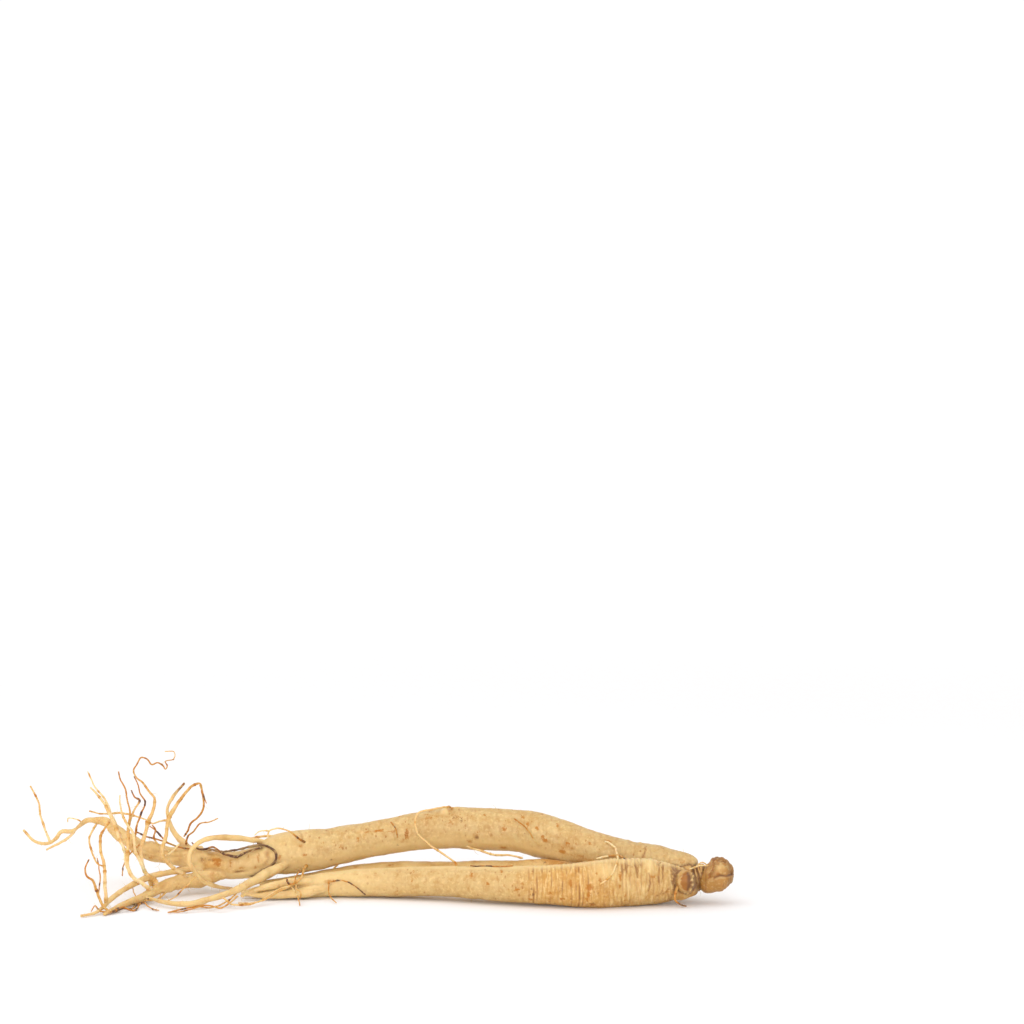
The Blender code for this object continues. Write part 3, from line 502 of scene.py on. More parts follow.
# Marks on the legs by kind: x, turn round the leg in degrees (0 top, 90 front), half length along
# the leg, half length round it, and strength. Bumps and pits give their height in millimetres.
LEG_MARKS = {
    "upper_leg": {
        "bump": [
            (21.9, 24, 1.2, 1.4, 0.9), (24.6, 12, 2.6, 1.2, 0.3), (74, -4, 0.8, 0.8, 0.25),
            (77.2, 2, 0.7, 0.9, 0.3), (45.6, 4, 0.6, 0.8, 0.3), (-23, 4, 2.6, 2.6, 0.25),
        ],
        "pit": [
            (-19.9, 30, 0.6, 2.2, 0.2), (-36.4, 112, 2.4, 0.5, 0.5),
        ],
        # The long stain marks under the upper leg near the crown (x 57 to 80, turn 96 to 150) are
        # orange-brown crumbs together with painted shade where the upper leg meets the lower leg.
        "stain": [
            (24, 52, 3.4, 2.5, 0.42), (23, 68, 1.8, 1, 0.5), (17.6, 43, 2.2, 1.1, 0.5),
            (16.4, 29, 1.1, 0.5, 0.8), (30.6, 102, 1.2, 1.2, 0.7), (31.2, 96, 0.9, 1.4, 0.5),
            (29.4, 112, 0.4, 0.8, 0.4), (10.6, 88, 0.6, 2.2, 1), (9.4, 108, 0.9, 0.5, 0.5),
            (2.6, 59, 2, 0.45, 0.95), (-0.6, 56, 1, 0.4, 0.7), (6.4, 68, 2.2, 0.45, 0.65),
            (-3.3, 74, 0.5, 1.1, 0.7), (-13.2, 62, 0.55, 0.7, 0.75), (-13.7, 75, 0.4, 0.4, 0.7),
            (-18.3, 90, 0.7, 0.5, 1), (-19.7, 63, 0.7, 0.6, 0.9), (-19.2, 40, 0.4, 1.4, 0.5),
            (38.5, 68, 0.5, 0.45, 0.7), (28.2, 112, 0.4, 0.9, 0.4), (54.6, 60, 0.4, 0.7, 0.6),
            (56.6, 74, 0.9, 0.45, 0.8), (55.1, 90, 0.7, 0.9, 0.6), (59.2, 70, 0.6, 0.45, 0.7),
            (65.8, 15, 0.9, 0.4, 0.6), (67.8, 22, 0.4, 0.4, 0.5), (32.5, 35, 0.3, 0.5, 0.6),
            (45.1, 29, 0.35, 0.35, 0.7), (50.8, 76, 0.5, 0.4, 0.6), (38.8, 131, 4, 1.1, 0.35),
            (48.4, 105, 1, 0.7, 0.45), (-39.6, 84, 0.5, 0.7, 0.7), (-33.2, 81, 0.4, 0.9, 0.4),
            (-41.5, 104, 0.9, 1, 0.6), (-46, 100, 1.6, 0.9, 0.6), (-28.5, 66, 1.3, 0.8, 0.5),
            (88.6, 60, 1.2, 2.2, 0.45), (60, 110, 8, 1.2, 0.55), (71, 98, 7, 1.7, 0.5),
            (80, 96, 5, 1.3, 0.4), (-37.8, 52, 0.6, 0.5, 0.9), (-34.6, 58, 0.4, 1, 0.8),
            (-39.5, 66, 0.4, 1.2, 0.9), (-36.4, 96, 1, 0.4, 0.8), (-31.6, 70, 0.4, 1.4, 0.9),
            (-43.4, 74, 1.2, 0.8, 1), (-25.6, 88, 0.6, 0.8, 0.9), (-8.2, 84, 0.7, 0.6, 0.8),
            (57, 150, 9, 1.7, 0.85), (66, 138, 6, 1.4, 0.6), (55, 106, 1.3, 0.9, 0.95),
            (50.3, 86, 1.2, 0.6, 0.95), (56.5, 80, 0.8, 0.5, 0.9), (53.8, 36, 0.5, 1.2, 0.85),
            (68.2, 34, 1.2, 0.5, 0.9), (38.5, 78, 0.8, 0.8, 0.9), (38.4, 140, 1.4, 0.9, 0.9),
            (28.7, 120, 1.2, 0.7, 0.85), (43.9, 36, 0.6, 0.6, 0.95), (33, 40, 0.6, 0.5, 0.95),
            (45.3, 56, 0.5, 1, 0.9), (47.9, 60, 0.5, 0.8, 0.9), (49.5, 79, 0.5, 1, 0.9),
            (62.8, 58, 0.6, 0.5, 0.9), (66, 114, 5, 1.2, 0.8), (61, 128, 4, 1.2, 0.85),
            (-50.5, 86, 2.2, 0.9, 0.95), (-53, 74, 2, 0.8, 0.9), (-43.5, 60, 1.6, 0.8, 1),
            (-56, 66, 2.4, 0.8, 0.9), (-32.6, 102, 0.8, 0.4, 0.8),
        ],
        # The long soil marks under the upper leg near the crown (x 60 to 71, turn 103 to 158) are soil
        # together with painted shade where the upper leg meets the lower leg.
        "soil": [
            (21.6, 60, 0.9, 0.8, 0.6), (26.2, 57, 1, 0.9, 0.55), (24.2, 50, 1.1, 0.8, 0.55),
            (30.6, 102, 0.6, 0.6, 0.8), (10.5, 84, 0.45, 1.5, 0.75), (8, 117, 0.5, 0.4, 0.9),
            (-11, 117, 0.5, 0.4, 0.9), (90, 96, 1, 1.6, 0.8), (71, 103, 7, 1.3, 0.42),
            (60, 158, 9, 1.5, 0.85), (30.8, 106, 0.7, 0.7, 1), (71, 108, 5, 0.8, 0.8),
            (63, 126, 5, 0.8, 0.85), (-45.2, 104, 3, 0.8, 1), (-49, 94, 2.2, 0.7, 0.95),
            (-47.2, 62, 3, 0.7, 0.9), (-52, 40, 3, 0.8, 0.85), (-37.2, 112, 1.8, 0.45, 0.9),
        ],
        "pale": [
            (21.6, 28, 1.3, 1.5, 1),
        ],
    },
    "lower_leg": {
        "bump": [
            (66.4, 42, 4.4, 4.4, 0.4), (79.5, 24, 1.4, 3.2, 0.8), (-11.2, 62, 1.3, 1, 0.3),
        ],
        "pit": [
            (62.4, 86, 1, 0.9, 0.3),
        ],
        # The long stain marks on the back of the lower leg's top near the crown (x 60 and 64, turn -10 and
        # -4) are stain together with painted shade where the third leg and the upper leg meet it.
        "stain": [
            (62.4, 87, 1.2, 1.1, 1), (62.1, 105, 0.7, 1, 0.9), (64.3, 54, 0.45, 0.45, 0.95),
            (65.2, 70, 0.5, 0.6, 0.95), (57, 76, 0.6, 1.3, 1), (58.6, 44, 0.5, 0.6, 0.7),
            (51.3, 105, 0.8, 0.6, 0.75), (54.7, 121, 1, 0.6, 1), (61.5, 118, 0.6, 0.7, 0.8),
            (70.9, 62, 0.55, 1.5, 0.95), (70.8, 86, 0.5, 0.8, 0.9), (72.3, 113, 0.5, 0.6, 0.7),
            (72.1, 128, 0.5, 0.5, 0.7), (80, 66, 1.1, 0.45, 0.9), (46.1, 112, 0.5, 0.4, 0.7),
            (37.9, 33, 0.45, 1, 0.9), (43.7, 80, 0.6, 0.6, 0.7), (29.4, 41, 0.35, 1, 0.7),
            (34.1, 86, 0.4, 0.5, 0.5), (36.8, 62, 0.4, 0.9, 0.6), (13, 42, 0.4, 1.3, 0.6),
            (12.6, 74, 0.35, 0.9, 0.7), (8.3, 121, 0.9, 0.7, 0.7), (16.2, 90, 0.35, 0.9, 0.6),
            (2.3, 46, 0.8, 0.9, 0.5), (24.8, 115, 0.5, 0.5, 0.5), (-11, 66, 1.6, 0.7, 0.9),
            (-3.5, 42, 1.6, 0.5, 0.45), (84.2, 108, 1.8, 0.7, 0.5), (20.2, 62, 0.3, 0.9, 0.5),
            (64, -4, 6, 1, 0.4), (48.4, 60, 0.4, 1.1, 0.4), (29.5, 50, 0.5, 1, 0.95),
            (34, 80, 0.6, 0.6, 0.95), (42.2, 98, 0.9, 0.6, 0.95), (46, 132, 0.8, 0.7, 0.95),
            (63.3, 136, 1, 0.9, 1), (60, -10, 9, 1.4, 0.6), (38.8, 88, 0.5, 0.5, 0.9),
        ],
        # The long soil marks on the back of the lower leg's top near the crown (x 60 and 72.5, turn -28 and
        # -8) are soil together with painted shade where the third leg and the upper leg meet it.
        "soil": [
            (63.2, 133, 0.8, 0.8, 0.8), (46.1, 94, 0.5, 0.5, 0.8), (8.3, 119, 0.7, 0.5, 0.5),
            (-10.4, 80, 0.5, 0.35, 0.7), (86.4, 62, 1.5, 4.4, 0.95), (86.5, 96, 0.7, 2.2, 0.9),
            (82.2, 4, 0.8, 0.8, 0.7), (72.5, -8, 5, 1.3, 0.4), (46.7, 112, 0.5, 0.5, 1),
            (60, -28, 9, 2, 0.85),
        ],
        # The first pale mark is a painted highlight on the top of the swelling at x 66.
        "pale": [
            (66.2, 44, 4.4, 3.4, 0.6), (79.3, 28, 1.5, 3.4, 0.85), (73.5, 85, 3, 2.4, 0.35),
        ],
    },
    "third_leg": {
        "stain": [
            (44, 20, 7, 2.4, 0.5), (54, 30, 4, 2.6, 0.75), (30, 8, 0.8, 0.5, 0.6),
            (5.8, 30, 1.3, 0.6, 0.7), (-4, 25, 1, 0.8, 0.7), (17, 12, 2.4, 0.5, 0.5), (60, 40, 4, 3, 0.6),
            (53, 4, 5, 2, 0.8), (46.5, 14, 0.8, 0.6, 0.95),
        ],
        "soil": [
            (-11, 10, 0.5, 0.5, 0.9), (60, 6, 6, 3, 0.9), (50, 24, 0.5, 0.5, 1),
        ],
    },
}

# Narrow dark creases on the legs: width, depth, then (x, turn) along the crease.
LEG_CREASES = {
    "upper_leg": [
        (0.22, 0.16, [(78.7, 18), (78.1, 52), (77.5, 72)]),
        (0.25, 0.2, [(-20.6, 0), (-19.6, 22), (-19.2, 50)]),
        (0.5, 0.35, [(-29.5, 60), (-28.7, 80), (-29.8, 105)]),
    ],
    "lower_leg": [
        (0.28, 0.36, [(72.6, -8), (72.9, 20), (73.2, 34), (71.7, 49)]),
        (0.2, 0.24, [(75.2, -6), (75.2, 20), (75.1, 38)]),
        (0.2, 0.26, [(76, 4), (76.1, 48), (75.9, 68)]),
        (0.2, 0.24, [(76.9, -4), (76.7, 34)]),
        (0.42, 0.6, [(81.7, -14), (82.4, 6), (81.8, 27)]),
        (0.24, 0.2, [(79, 58), (79.4, 80), (78.8, 104)]),
        (0.2, 0.16, [(82.6, 36), (82.9, 60), (82.5, 82)]),
        (0.26, 0.1, [(80.8, 122), (82.2, 114), (83, 104)]),
        (0.22, 0.1, [(82.6, 118), (84, 110), (84.8, 100)]),
        (0.34, 0.3, [(87.1, 30), (87.3, 60), (86.6, 95), (86.6, 118)]),
    ],
    "third_leg": [],
}
MARK_KINDS = ("bump", "pit", "stain", "soil", "pale")

# How many half lengths from its middle a mark still shows.
MARK_EDGE = 1.7


def smooth_step(start, end, value):
    """Rises smoothly from 0 at start to 1 at end; it falls where end is the lower one."""
    share = min(max((value - start) / (end - start), 0), 1)
    return share * share * (3 - 2 * share)


def hump(value, middle, width):
    """A smooth hump: 1 at the middle, and hardly anything two widths away."""
    return math.exp(-(((value - middle) / width) ** 2))


def bumpy(spot, size, seed):
    """Smooth noise from about -1 to 1, with features of a size in millimetres."""
    return 1.6 * noise.noise(spot / size + Vector((seed, 2.7 * seed, 0.3)))


def smooth_route(route):
    """Closely spaced points on a smooth curve through a route: (x, y, z, diameter)."""
    knots = [Vector(point) for point in route]
    knots.insert(0, 2 * knots[0] - knots[1])
    knots.append(2 * knots[-1] - knots[-2])
    points = []
    for before, start, end, after in zip(knots, knots[1:], knots[2:], knots[3:]):
        chord = (end - start).length
        gap_before = (start - before).length
        gap_after = (after - end).length
        leave = chord * (
            (start - before) / gap_before - (end - before) / (gap_before + chord)
        ) + (end - start)
        arrive = chord * (
            (after - end) / gap_after - (after - start) / (chord + gap_after)
        ) + (end - start)
        count = max(2, round(chord / SAMPLE_STEP))
        for k in range(count):
            t = k / count
            points.append(
                start * (2 * t**3 - 3 * t**2 + 1)
                + leave * (t**3 - 2 * t**2 + t)
                + end * (3 * t**2 - 2 * t**3)
                + arrive * (t**3 - t**2)
            )
    points.append(knots[-2])
    return points


def stations(route, step, fine_from, fine_step):
    """The centre, the radius and the share of the way of each cross-section along a route."""
    points = smooth_route(route)
    picked = [0]
    travelled = 0
    for index in range(1, len(points)):
        travelled += (points[index] - points[index - 1]).length
        if travelled >= (fine_step if points[index].x > fine_from else step):
            picked.append(index)
            travelled = 0
    picked[-1] = len(points) - 1
    return [(points[k].xyz, points[k].w / 2, k / (len(points) - 1)) for k in picked]


def cross_frames(centres):
    """The forward, upward and across directions at each centre of a tube."""
    frames = []
    upward = Vector((0, 0.1, 1))
    for k in range(len(centres)):
        forward = (centres[min(k + 1, len(centres) - 1)] - centres[max(k - 1, 0)]).normalized()
        upward = (upward - forward * upward.dot(forward)).normalized()
        frames.append((forward, upward, forward.cross(upward)))
    return frames


class Skin:
    """The tubes that will grow together, with the painted masks of all their points."""

    def __init__(self):
        self.tubes = []
        self.points = []
        self.masks = []
        self.labels = []

    def add_tube(self, name, surface, route, sides, step, bulge, fine_from=math.inf, fine_step=0):
        """Add a closed tube; surface gives the height and the masks at a spot of it."""
        sections = stations(route, step, fine_from, fine_step)
        frames = cross_frames([centre for centre, radius, share in sections])
        dome = [math.pi / 2 * k / (CAP_ROWS + 1) for k in range(CAP_ROWS, 0, -1)]
        rows = [(sections[0], frames[0], -tilt) for tilt in dome]
        rows += [(section, directions, 0) for section, directions in zip(sections, frames)]
        rows += [(sections[-1], frames[-1], tilt) for tilt in reversed(dome)]
        vertices = []
        masks = []
        for (centre, radius, share), (forward, upward, across), tilt in rows:
            middle = centre + forward * min(radius, bulge) * math.sin(tilt)
            for side in range(sides):
                angle = math.tau * side / sides
                outward = upward * math.cos(angle) + across * math.sin(angle)
                normal = outward * math.cos(tilt) + forward * math.sin(tilt)
                spot = middle + outward * radius * math.cos(tilt)
                turn = math.degrees(math.atan2(-outward.y, outward.z))
                height, painted = surface(spot, turn, radius, share)
                vertices.append(spot + normal * height)
                masks.append(painted)
        for (centre, radius, share), (forward, upward, across), sign in (
            (sections[0], frames[0], -1), (sections[-1], frames[-1], 1),
        ):
            spot = centre + forward * min(radius, bulge) * sign
            height, painted = surface(spot, 0, radius, share)
            vertices.append(spot + forward * height * sign)
            masks.append(painted)
        last_row = (len(rows) - 1) * sides
        poles = len(vertices) - 2
        faces = []
        for start in range(0, last_row, sides):
            for side in range(sides):
                beside = (side + 1) % sides
                near = start + side
                far = start + beside
                faces.append((near, far, far + sides, near + sides))
        for side in range(sides):
            beside = (side + 1) % sides
            faces.append((poles, beside, side))
            faces.append((poles + 1, last_row + side, last_row + beside))
        mesh = bpy.data.meshes.new(name)
        mesh.from_pydata([spot * MM for spot in vertices], [], faces)
        mesh.validate()
        tube = bpy.data.objects.new(name, mesh)
        self.tubes.append(tube)
        self.points += vertices
        self.masks += masks
        self.labels += [len(self.tubes)] * len(vertices)


def paint(groove=0, stain=0, soil=0, pale=0, golden=0, bark=0, fuzz=0, ringed=0):
    """The masks of one point, in the order of MASKS; golden above 1 turns to amber."""
    return (groove, stain, soil, pale, golden, bark, fuzz, ringed)


def mark_strengths(marks, x, turn, radius):
    """How strongly each kind of mark shows at a place on a leg."""
    found = dict.fromkeys(MARK_KINDS, 0)
    for kind, places in marks.items():
        for mark_x, mark_turn, half_along, half_around, strength in places:
            along = (x - mark_x) / half_along
            if abs(along) > MARK_EDGE:
                continue
            swing = (turn - mark_turn + 180) % 360 - 180
            around = math.radians(swing) * radius / half_around
            if abs(around) > MARK_EDGE:
                continue
            reach = math.hypot(along, around)
            if kind in ("bump", "pit"):
                found[kind] += strength * math.exp(-1.6 * reach * reach)
            else:
                found[kind] = max(found[kind], strength * smooth_step(1.6, 0.2, reach))
    return found


def crease_depth(creases, x, turn, radius, spot):
    """Depth of the narrow creases at a place, and how dark they are there."""
    deepest = 0
    darkest = 0
    for width, depth, line in creases:
        if not min(p[0] for p in line) - 1.5 < x < max(p[0] for p in line) + 1.5:
            continue
        wander = 0.25 * bumpy(spot, 1.1, 14)
        place = Vector((x + wander, math.radians(turn) * radius))
        corners = [Vector((px, math.radians(pt) * radius)) for px, pt in line]
        for start, end in zip(corners, corners[1:]):
            way = end - start
            share = min(max((place - start).dot(way) / way.length_squared, 0), 1)
            distance = (place - start - way * share).length
            level = hump(distance, 0, width)
            deepest = max(deepest, depth * level)
            darkest = max(darkest, level)
    return deepest, darkest


def coarse_share(x):
    """How coarse the growth rings are at a place along X, from 0 to 1."""
    return smooth_step(COARSE_RINGS_START - 3, COARSE_RINGS_START + 2, x)


def ring_grooves(settings):
    """Places of the growth rings along the lower leg, and how deep each one is."""
    source = random.Random(RING_SEED)
    places = []
    x = RINGS_START
    while x < RINGS_END:
        coarse = coarse_share(x)
        pitch = settings.fine_pitch / MM * (1 - coarse) + settings.coarse_pitch / MM * coarse
        x += pitch * source.uniform(0.8, 1.22)
        places.append((x, source.uniform(0.5, 1)))
    return places


def ring_height(places, settings, x, turn, radius):
    """Height of the growth rings at a place on the lower leg, and how dark the groove is."""
    edge = smooth_step(RINGS_START, RINGS_START + 5, x) * smooth_step(RINGS_END, RINGS_END - 2, x)
    if edge == 0:
        return 0, 0
    coarse = coarse_share(x)
    arc = math.radians(turn) * radius
    warp = 0.35 * noise.noise(Vector((x / 8, arc / 6, 3)))
    warp += coarse * 0.5 * noise.noise(Vector((x / 3.5, arc / 3.2, 8)))
    ring_x = x + warp
    index = bisect_left(places, (ring_x, 0))
    low, low_depth = places[max(index - 1, 0)]
    high, high_depth = places[min(index, len(places) - 1)]
    share = min(max((ring_x - low) / max(high - low, 0.1), 0), 1)
    if share < 0.5:
        nearest, depth, number = low, low_depth, index - 1
    else:
        nearest, depth, number = high, high_depth, index
    patch = 0.6 + 1.7 * noise.noise(Vector((number * 5.3, arc / 3.4, x / 9)))
    depth *= min(max(patch, 0.25), 1.1)
    calm = 1 - 0.6 * smooth_step(FINE_RINGS_END, FINE_RINGS_END + 4, x) * (1 - coarse)
    low_side = 1 - 0.55 * coarse * smooth_step(62, 100, abs(turn))
    strength = edge * calm * low_side
    amplitude = (settings.fine_depth * (1 - coarse) + settings.coarse_depth * coarse) / MM
    cut = hump(ring_x, nearest, FINE_GROOVE * (1 - coarse) + COARSE_GROOVE * coarse) * depth
    crest = math.sqrt(max(1 - (2 * share - 1) ** 2, 0))
    return amplitude * strength * (0.55 * crest - cut), strength * cut


def leg_texture(spot, turn, radius, settings):
    """Lumps, cross wrinkles and grain that every leg has, in millimetres."""
    size = min(radius / 5, 1)
    arc = math.radians(turn) * radius
    cross = 1.6 * noise.noise(Vector((spot.x / 0.75, arc / 3.4, 21)))
    long_fold = 1.6 * noise.noise(Vector((spot.x / 7, arc / 1.5, 33)))
    height = settings.lump_height / MM * size * (
        bumpy(spot, 12, 1) + 0.5 * bumpy(spot, 4.6, 2) + 0.16 * bumpy(spot, 1.7, 3)
    )
    wrinkle = smooth_step(0.1, 0.7, cross)
    height -= settings.wrinkle_depth / MM * wrinkle
    height += 0.05 * long_fold * size + 0.02 * bumpy(spot, 0.7, 5)
    return height, wrinkle


def leg_surface(leg, settings, golden_at, light_at, rings=None, painted_light_all_over=0, painted_top_light=0, painted_underside_light=0):
    """The surface rule of a leg, with its own marks, creases, growth rings and painted light."""
    marks = LEG_MARKS[leg]
    creases = LEG_CREASES[leg]

    def surface(spot, turn, radius, share):
        x = spot.x
        height, wrinkle = leg_texture(spot, turn, radius, settings)
        found = mark_strengths(marks, x, turn, radius)
        crease, dark = crease_depth(creases, x, turn, radius, spot)
        height += found["bump"] - found["pit"] - crease
        groove = max(dark, 0.25 * wrinkle)
        ringed = 0
        if rings:
            rise, cut = ring_height(rings, settings, x, turn, radius)
            height += rise
            groove = max(groove, min(1.35 * cut, 1))
            ringed = smooth_step(RINGS_START, FINE_RINGS_END - 8, x)
            ringed *= smooth_step(RINGS_END, RINGS_END - 3, x)
        # Painted light in the pale mask: the third leg paler all over in patches, the lower leg's top paler
        # as if lit from above, and the upper leg's underside paler as if lit from below.
        patchy_painted_light = painted_light_all_over * min(max(0.7 + 0.9 * bumpy(spot, 5, 31), 0.3), 1)
        top = painted_top_light * smooth_step(38, 8, abs(turn))
        low = painted_underside_light * smooth_step(84, 124, abs(turn))
        light = max(found["pale"], patchy_painted_light, top, low, light_at(x))
        light *= 1 - 0.95 * min(max(found["stain"], found["soil"]), 1)
        dull = 0.07 * smooth_step(60, 72, x)
        return height, paint(
            groove, found["stain"], found["soil"], light, golden_at(x), dull, 0.06, ringed
        )

    return surface


def lower_gold(x):
    """How golden the lower leg is along X: most of all at the fine rings."""
    return 0.15 + 1.05 * smooth_step(38, 56, x) * (1 - 0.6 * smooth_step(64, 76, x))


def upper_gold(x):
    """How golden the upper leg is along X: most of all towards the tail."""
    return 0.1 + 0.2 * smooth_step(-22, -34, x) + 1.05 * smooth_step(-38, -48, x)


def lower_light(x):
    """How pale the lower leg and the third leg are along X: most of all at their thin ends."""
    return 0.75 * smooth_step(14, -10, x)


def upper_light(x):
    """How pale the upper leg is along X: a worn stretch before the tail."""
    return 0.5 * smooth_step(-12, -22, x) * smooth_step(-44, -37, x)


def neck_surface(spot, turn, radius, share):
    """Two tight dark rings round the neck and a faint third; the ones by the bud lean. The gap under the
    knob is dipped and darkened as painted shade.
    """
    x = spot.x + 0.12 * bumpy(spot, 1.3, 6)
    lean = LEANING_RING_X + 0.012 * (abs(turn) - 60)
    cut = max(hump(x, NECK_RING_X, 0.45), hump(x, lean, 0.28), 0.5 * hump(x, lean + 0.9, 0.16))
    height = 0.1 * bumpy(spot, 2, 7) - 0.6 * cut + 0.2
    # The gap under the knob is dipped and darkened with the soil and bark masks: painted shade.
    gap = hump(x, NECK_GAP_X, 1) * smooth_step(80, 110, turn)
    height -= 0.8 * gap
    return height, paint(cut, 0, 0.3 * gap, 0, 1.7, 0.08 + 0.72 * max(cut, gap), 0.1)


def bud_surface(spot, turn, radius, share):
    """A round bud with a cut face, a ragged scar rim on top and a fold across its middle, with a painted
    highlight on the cut face.
    """
    x = spot.x
    rim_x = BUD_RIM_X - 1.2 * smooth_step(45, 90, turn)
    ragged = x + 0.3 * bumpy(spot, 0.9, 11)
    on_face = smooth_step(rim_x - 0.2, rim_x + 0.5, ragged) * smooth_step(90, 82, turn)
    on_face *= smooth_step(-40, 5, turn)
    top = smooth_step(55, 15, abs(turn - 2)) * smooth_step(96.6, 97.6, x)
    top *= smooth_step(101.8, 100.6, x)
    rim = hump(ragged, rim_x, 0.34) * smooth_step(95, 84, turn) * smooth_step(-60, -10, turn)
    fold = hump(turn + 2 * bumpy(spot, 2, 3), BUD_SEAM_TURN, 4) * smooth_step(96.8, 97.6, x)
    shoulder = smooth_step(98, 95.6, x) * smooth_step(75, 20, abs(turn))
    height = 0.2 * bumpy(spot, 4, 12) + 0.07 * bumpy(spot, 1.1, 13)
    height -= on_face * smooth_step(4, 50, turn) + 0.75 * shoulder
    height += 0.35 * rim + top * (0.45 * bumpy(spot, 0.7, 15) - 0.3)
    height -= 0.5 * fold
    height += 0.25 * hump(x, 96, 1.2) * smooth_step(40, 70, turn)
    patch = hump(x, 98.3, 0.592) * hump(turn, 80, 9)
    flakes = 0.95 * top * smooth_step(-0.3, 0.3, bumpy(spot, 0.7, 16))
    stain = max(rim, flakes, 0.5 * fold, 1.3 * patch)
    # A painted highlight on the upper front of the cut face: paler, less golden and less brown there.
    painted_bud_highlight = on_face * hump(x, 98.9, 1.732) * hump(turn, 46, 22)
    soil = 0.2 * smooth_step(70, 110, turn) + 0.1 * on_face + 0.4 * top
    edge = smooth_step(100.4, 101.8, x) * smooth_step(-30, 20, turn)
    groove = max(fold, 0.8 * hump(x, BUD_FOOT_X, 0.25))
    brown = 0.14 + 0.12 * (1 - painted_bud_highlight) + 0.25 * edge + 0.2 * rim + 0.2 * top + 0.35 * fold
    return height, paint(groove, stain, min(soil, 0.5), 0.4 * painted_bud_highlight, 1.9 - 0.6 * painted_bud_highlight, brown, 0)


def foot_surface(spot, turn, radius, share):
    """The low end of the crown under the knob, olive and a little wrinkled."""
    arc = math.radians(turn) * radius
    wrinkle = noise.noise(Vector((spot.x / 0.5, arc / 2.2, 41)))
    height = 0.16 * bumpy(spot, 2.4, 42) + 0.08 * wrinkle
    brown = 0.14 + 0.5 * smooth_step(91.2, 92.8, spot.x)
    return height, paint(0.4 * smooth_step(0.1, 0.4, wrinkle), 0, 0, 0, 1.1, brown, 0.05, 0.4)


def knob_surface(spot, turn, radius, share):
    """A knob with an oval brown scar on its front, torn pale fibres and dark soil beside it."""
    x, y, z = spot
    face = smooth_step(-18.2, -19.4, y)
    reach = math.hypot((x - SCAR_X) / SCAR_HALF_WIDTH, (z - SCAR_Z) / SCAR_HALF_HEIGHT)
    reach += 0.1 * bumpy(spot, 0.8, 17)
    inside = face * smooth_step(1.1, 0.88, reach)
    ring = smooth_step(-16.8, -18.2, y) * hump(reach + 0.22 * bumpy(spot, 0.6, 26), 1.4, 0.13)
    right_below = smooth_step(88.7, 90, x + 0.45 * (6.6 - z))
    fibres = ring * right_below * smooth_step(-0.5, 0.1, bumpy(spot, 0.6, 20))
    right = smooth_step(89.2, 90.2, x)
    left = smooth_step(87.6, 86.6, x)
    height = 0.34 * bumpy(spot, 2.4, 18) + 0.12 * bumpy(spot, 0.9, 19)
    height += 0.3 * fibres - 0.16 * inside
    edge = hump(reach, 1.04, 0.13) * face
    bark = 0.14 + 0.2 * inside + 0.52 * inside * right + 0.5 * edge * (0.2 + 0.8 * right) + 0.4 * left
    bark += 0.6 * smooth_step(90.3, 91.2, x) + 0.28 * smooth_step(4.8, 3.6, z)
    bark = min(bark, 0.8) * (1 - fibres)
    soil = max(0.4 * left, 0.45 * smooth_step(90.8, 91.8, x)) * (1 - fibres)
    return height, paint(0.4 * edge, 1.3 * inside, soil, 0.8 * fibres, 1.5, bark, 0.1)


def side_root_surface(golden, bark, dark_tip):
    """The surface rule of a side root: long folds, small joints and a taper in colour."""

    def surface(spot, turn, radius, share):
        arc = math.radians(turn) * radius
        fold = noise.noise(Vector((spot.x / 4, arc / 0.5, golden * 9)))
        joint = smooth_step(0.3, 0.62, bumpy(spot, 2.2, 24))
        height = radius * (0.16 * bumpy(spot, 3.6, 22) + 0.1 * fold + 0.09 * joint)
        height += (0.03 + 0.07 * bark) * bumpy(spot, 0.7, 23)
        groove = 0.25 * smooth_step(0.1, 0.4, -fold)
        tip = dark_tip * smooth_step(0.75, 0.92, share)
        stain = 0.62 * joint * (1 - bark)
        light = (0.8 - 0.3 * golden + 0.4 * bumpy(spot, 3, 25)) * (1 - bark) * (1 - tip)
        brown = bark * min(1, 0.84 + 0.4 * bumpy(spot, 1.3, 27))
        return height, paint(groove, stain, 0.75 * tip, min(max(light, 0), 1), golden, brown, 0.5)

    return surface


def line_arrays(rows, skip):
    """Mesh arrays of polylines: the points, the edges, and each point's thickness and tint."""
    points = []
    edges = []
    thickness = []
    tint = []
    for base_tint, tip_tint, route in rows:
        path = smooth_route(route)[::skip]
        first = len(points)
        for k, point in enumerate(path):
            share = k / (len(path) - 1)
            points.append(point.xyz * MM)
            thickness.append(point.w * MM)
            tint.append(base_tint + (tip_tint - base_tint) * smooth_step(0.1, 0.9, share))
        edges += [(k, k + 1) for k in range(first, len(points) - 1)]
    return points, edges, thickness, tint


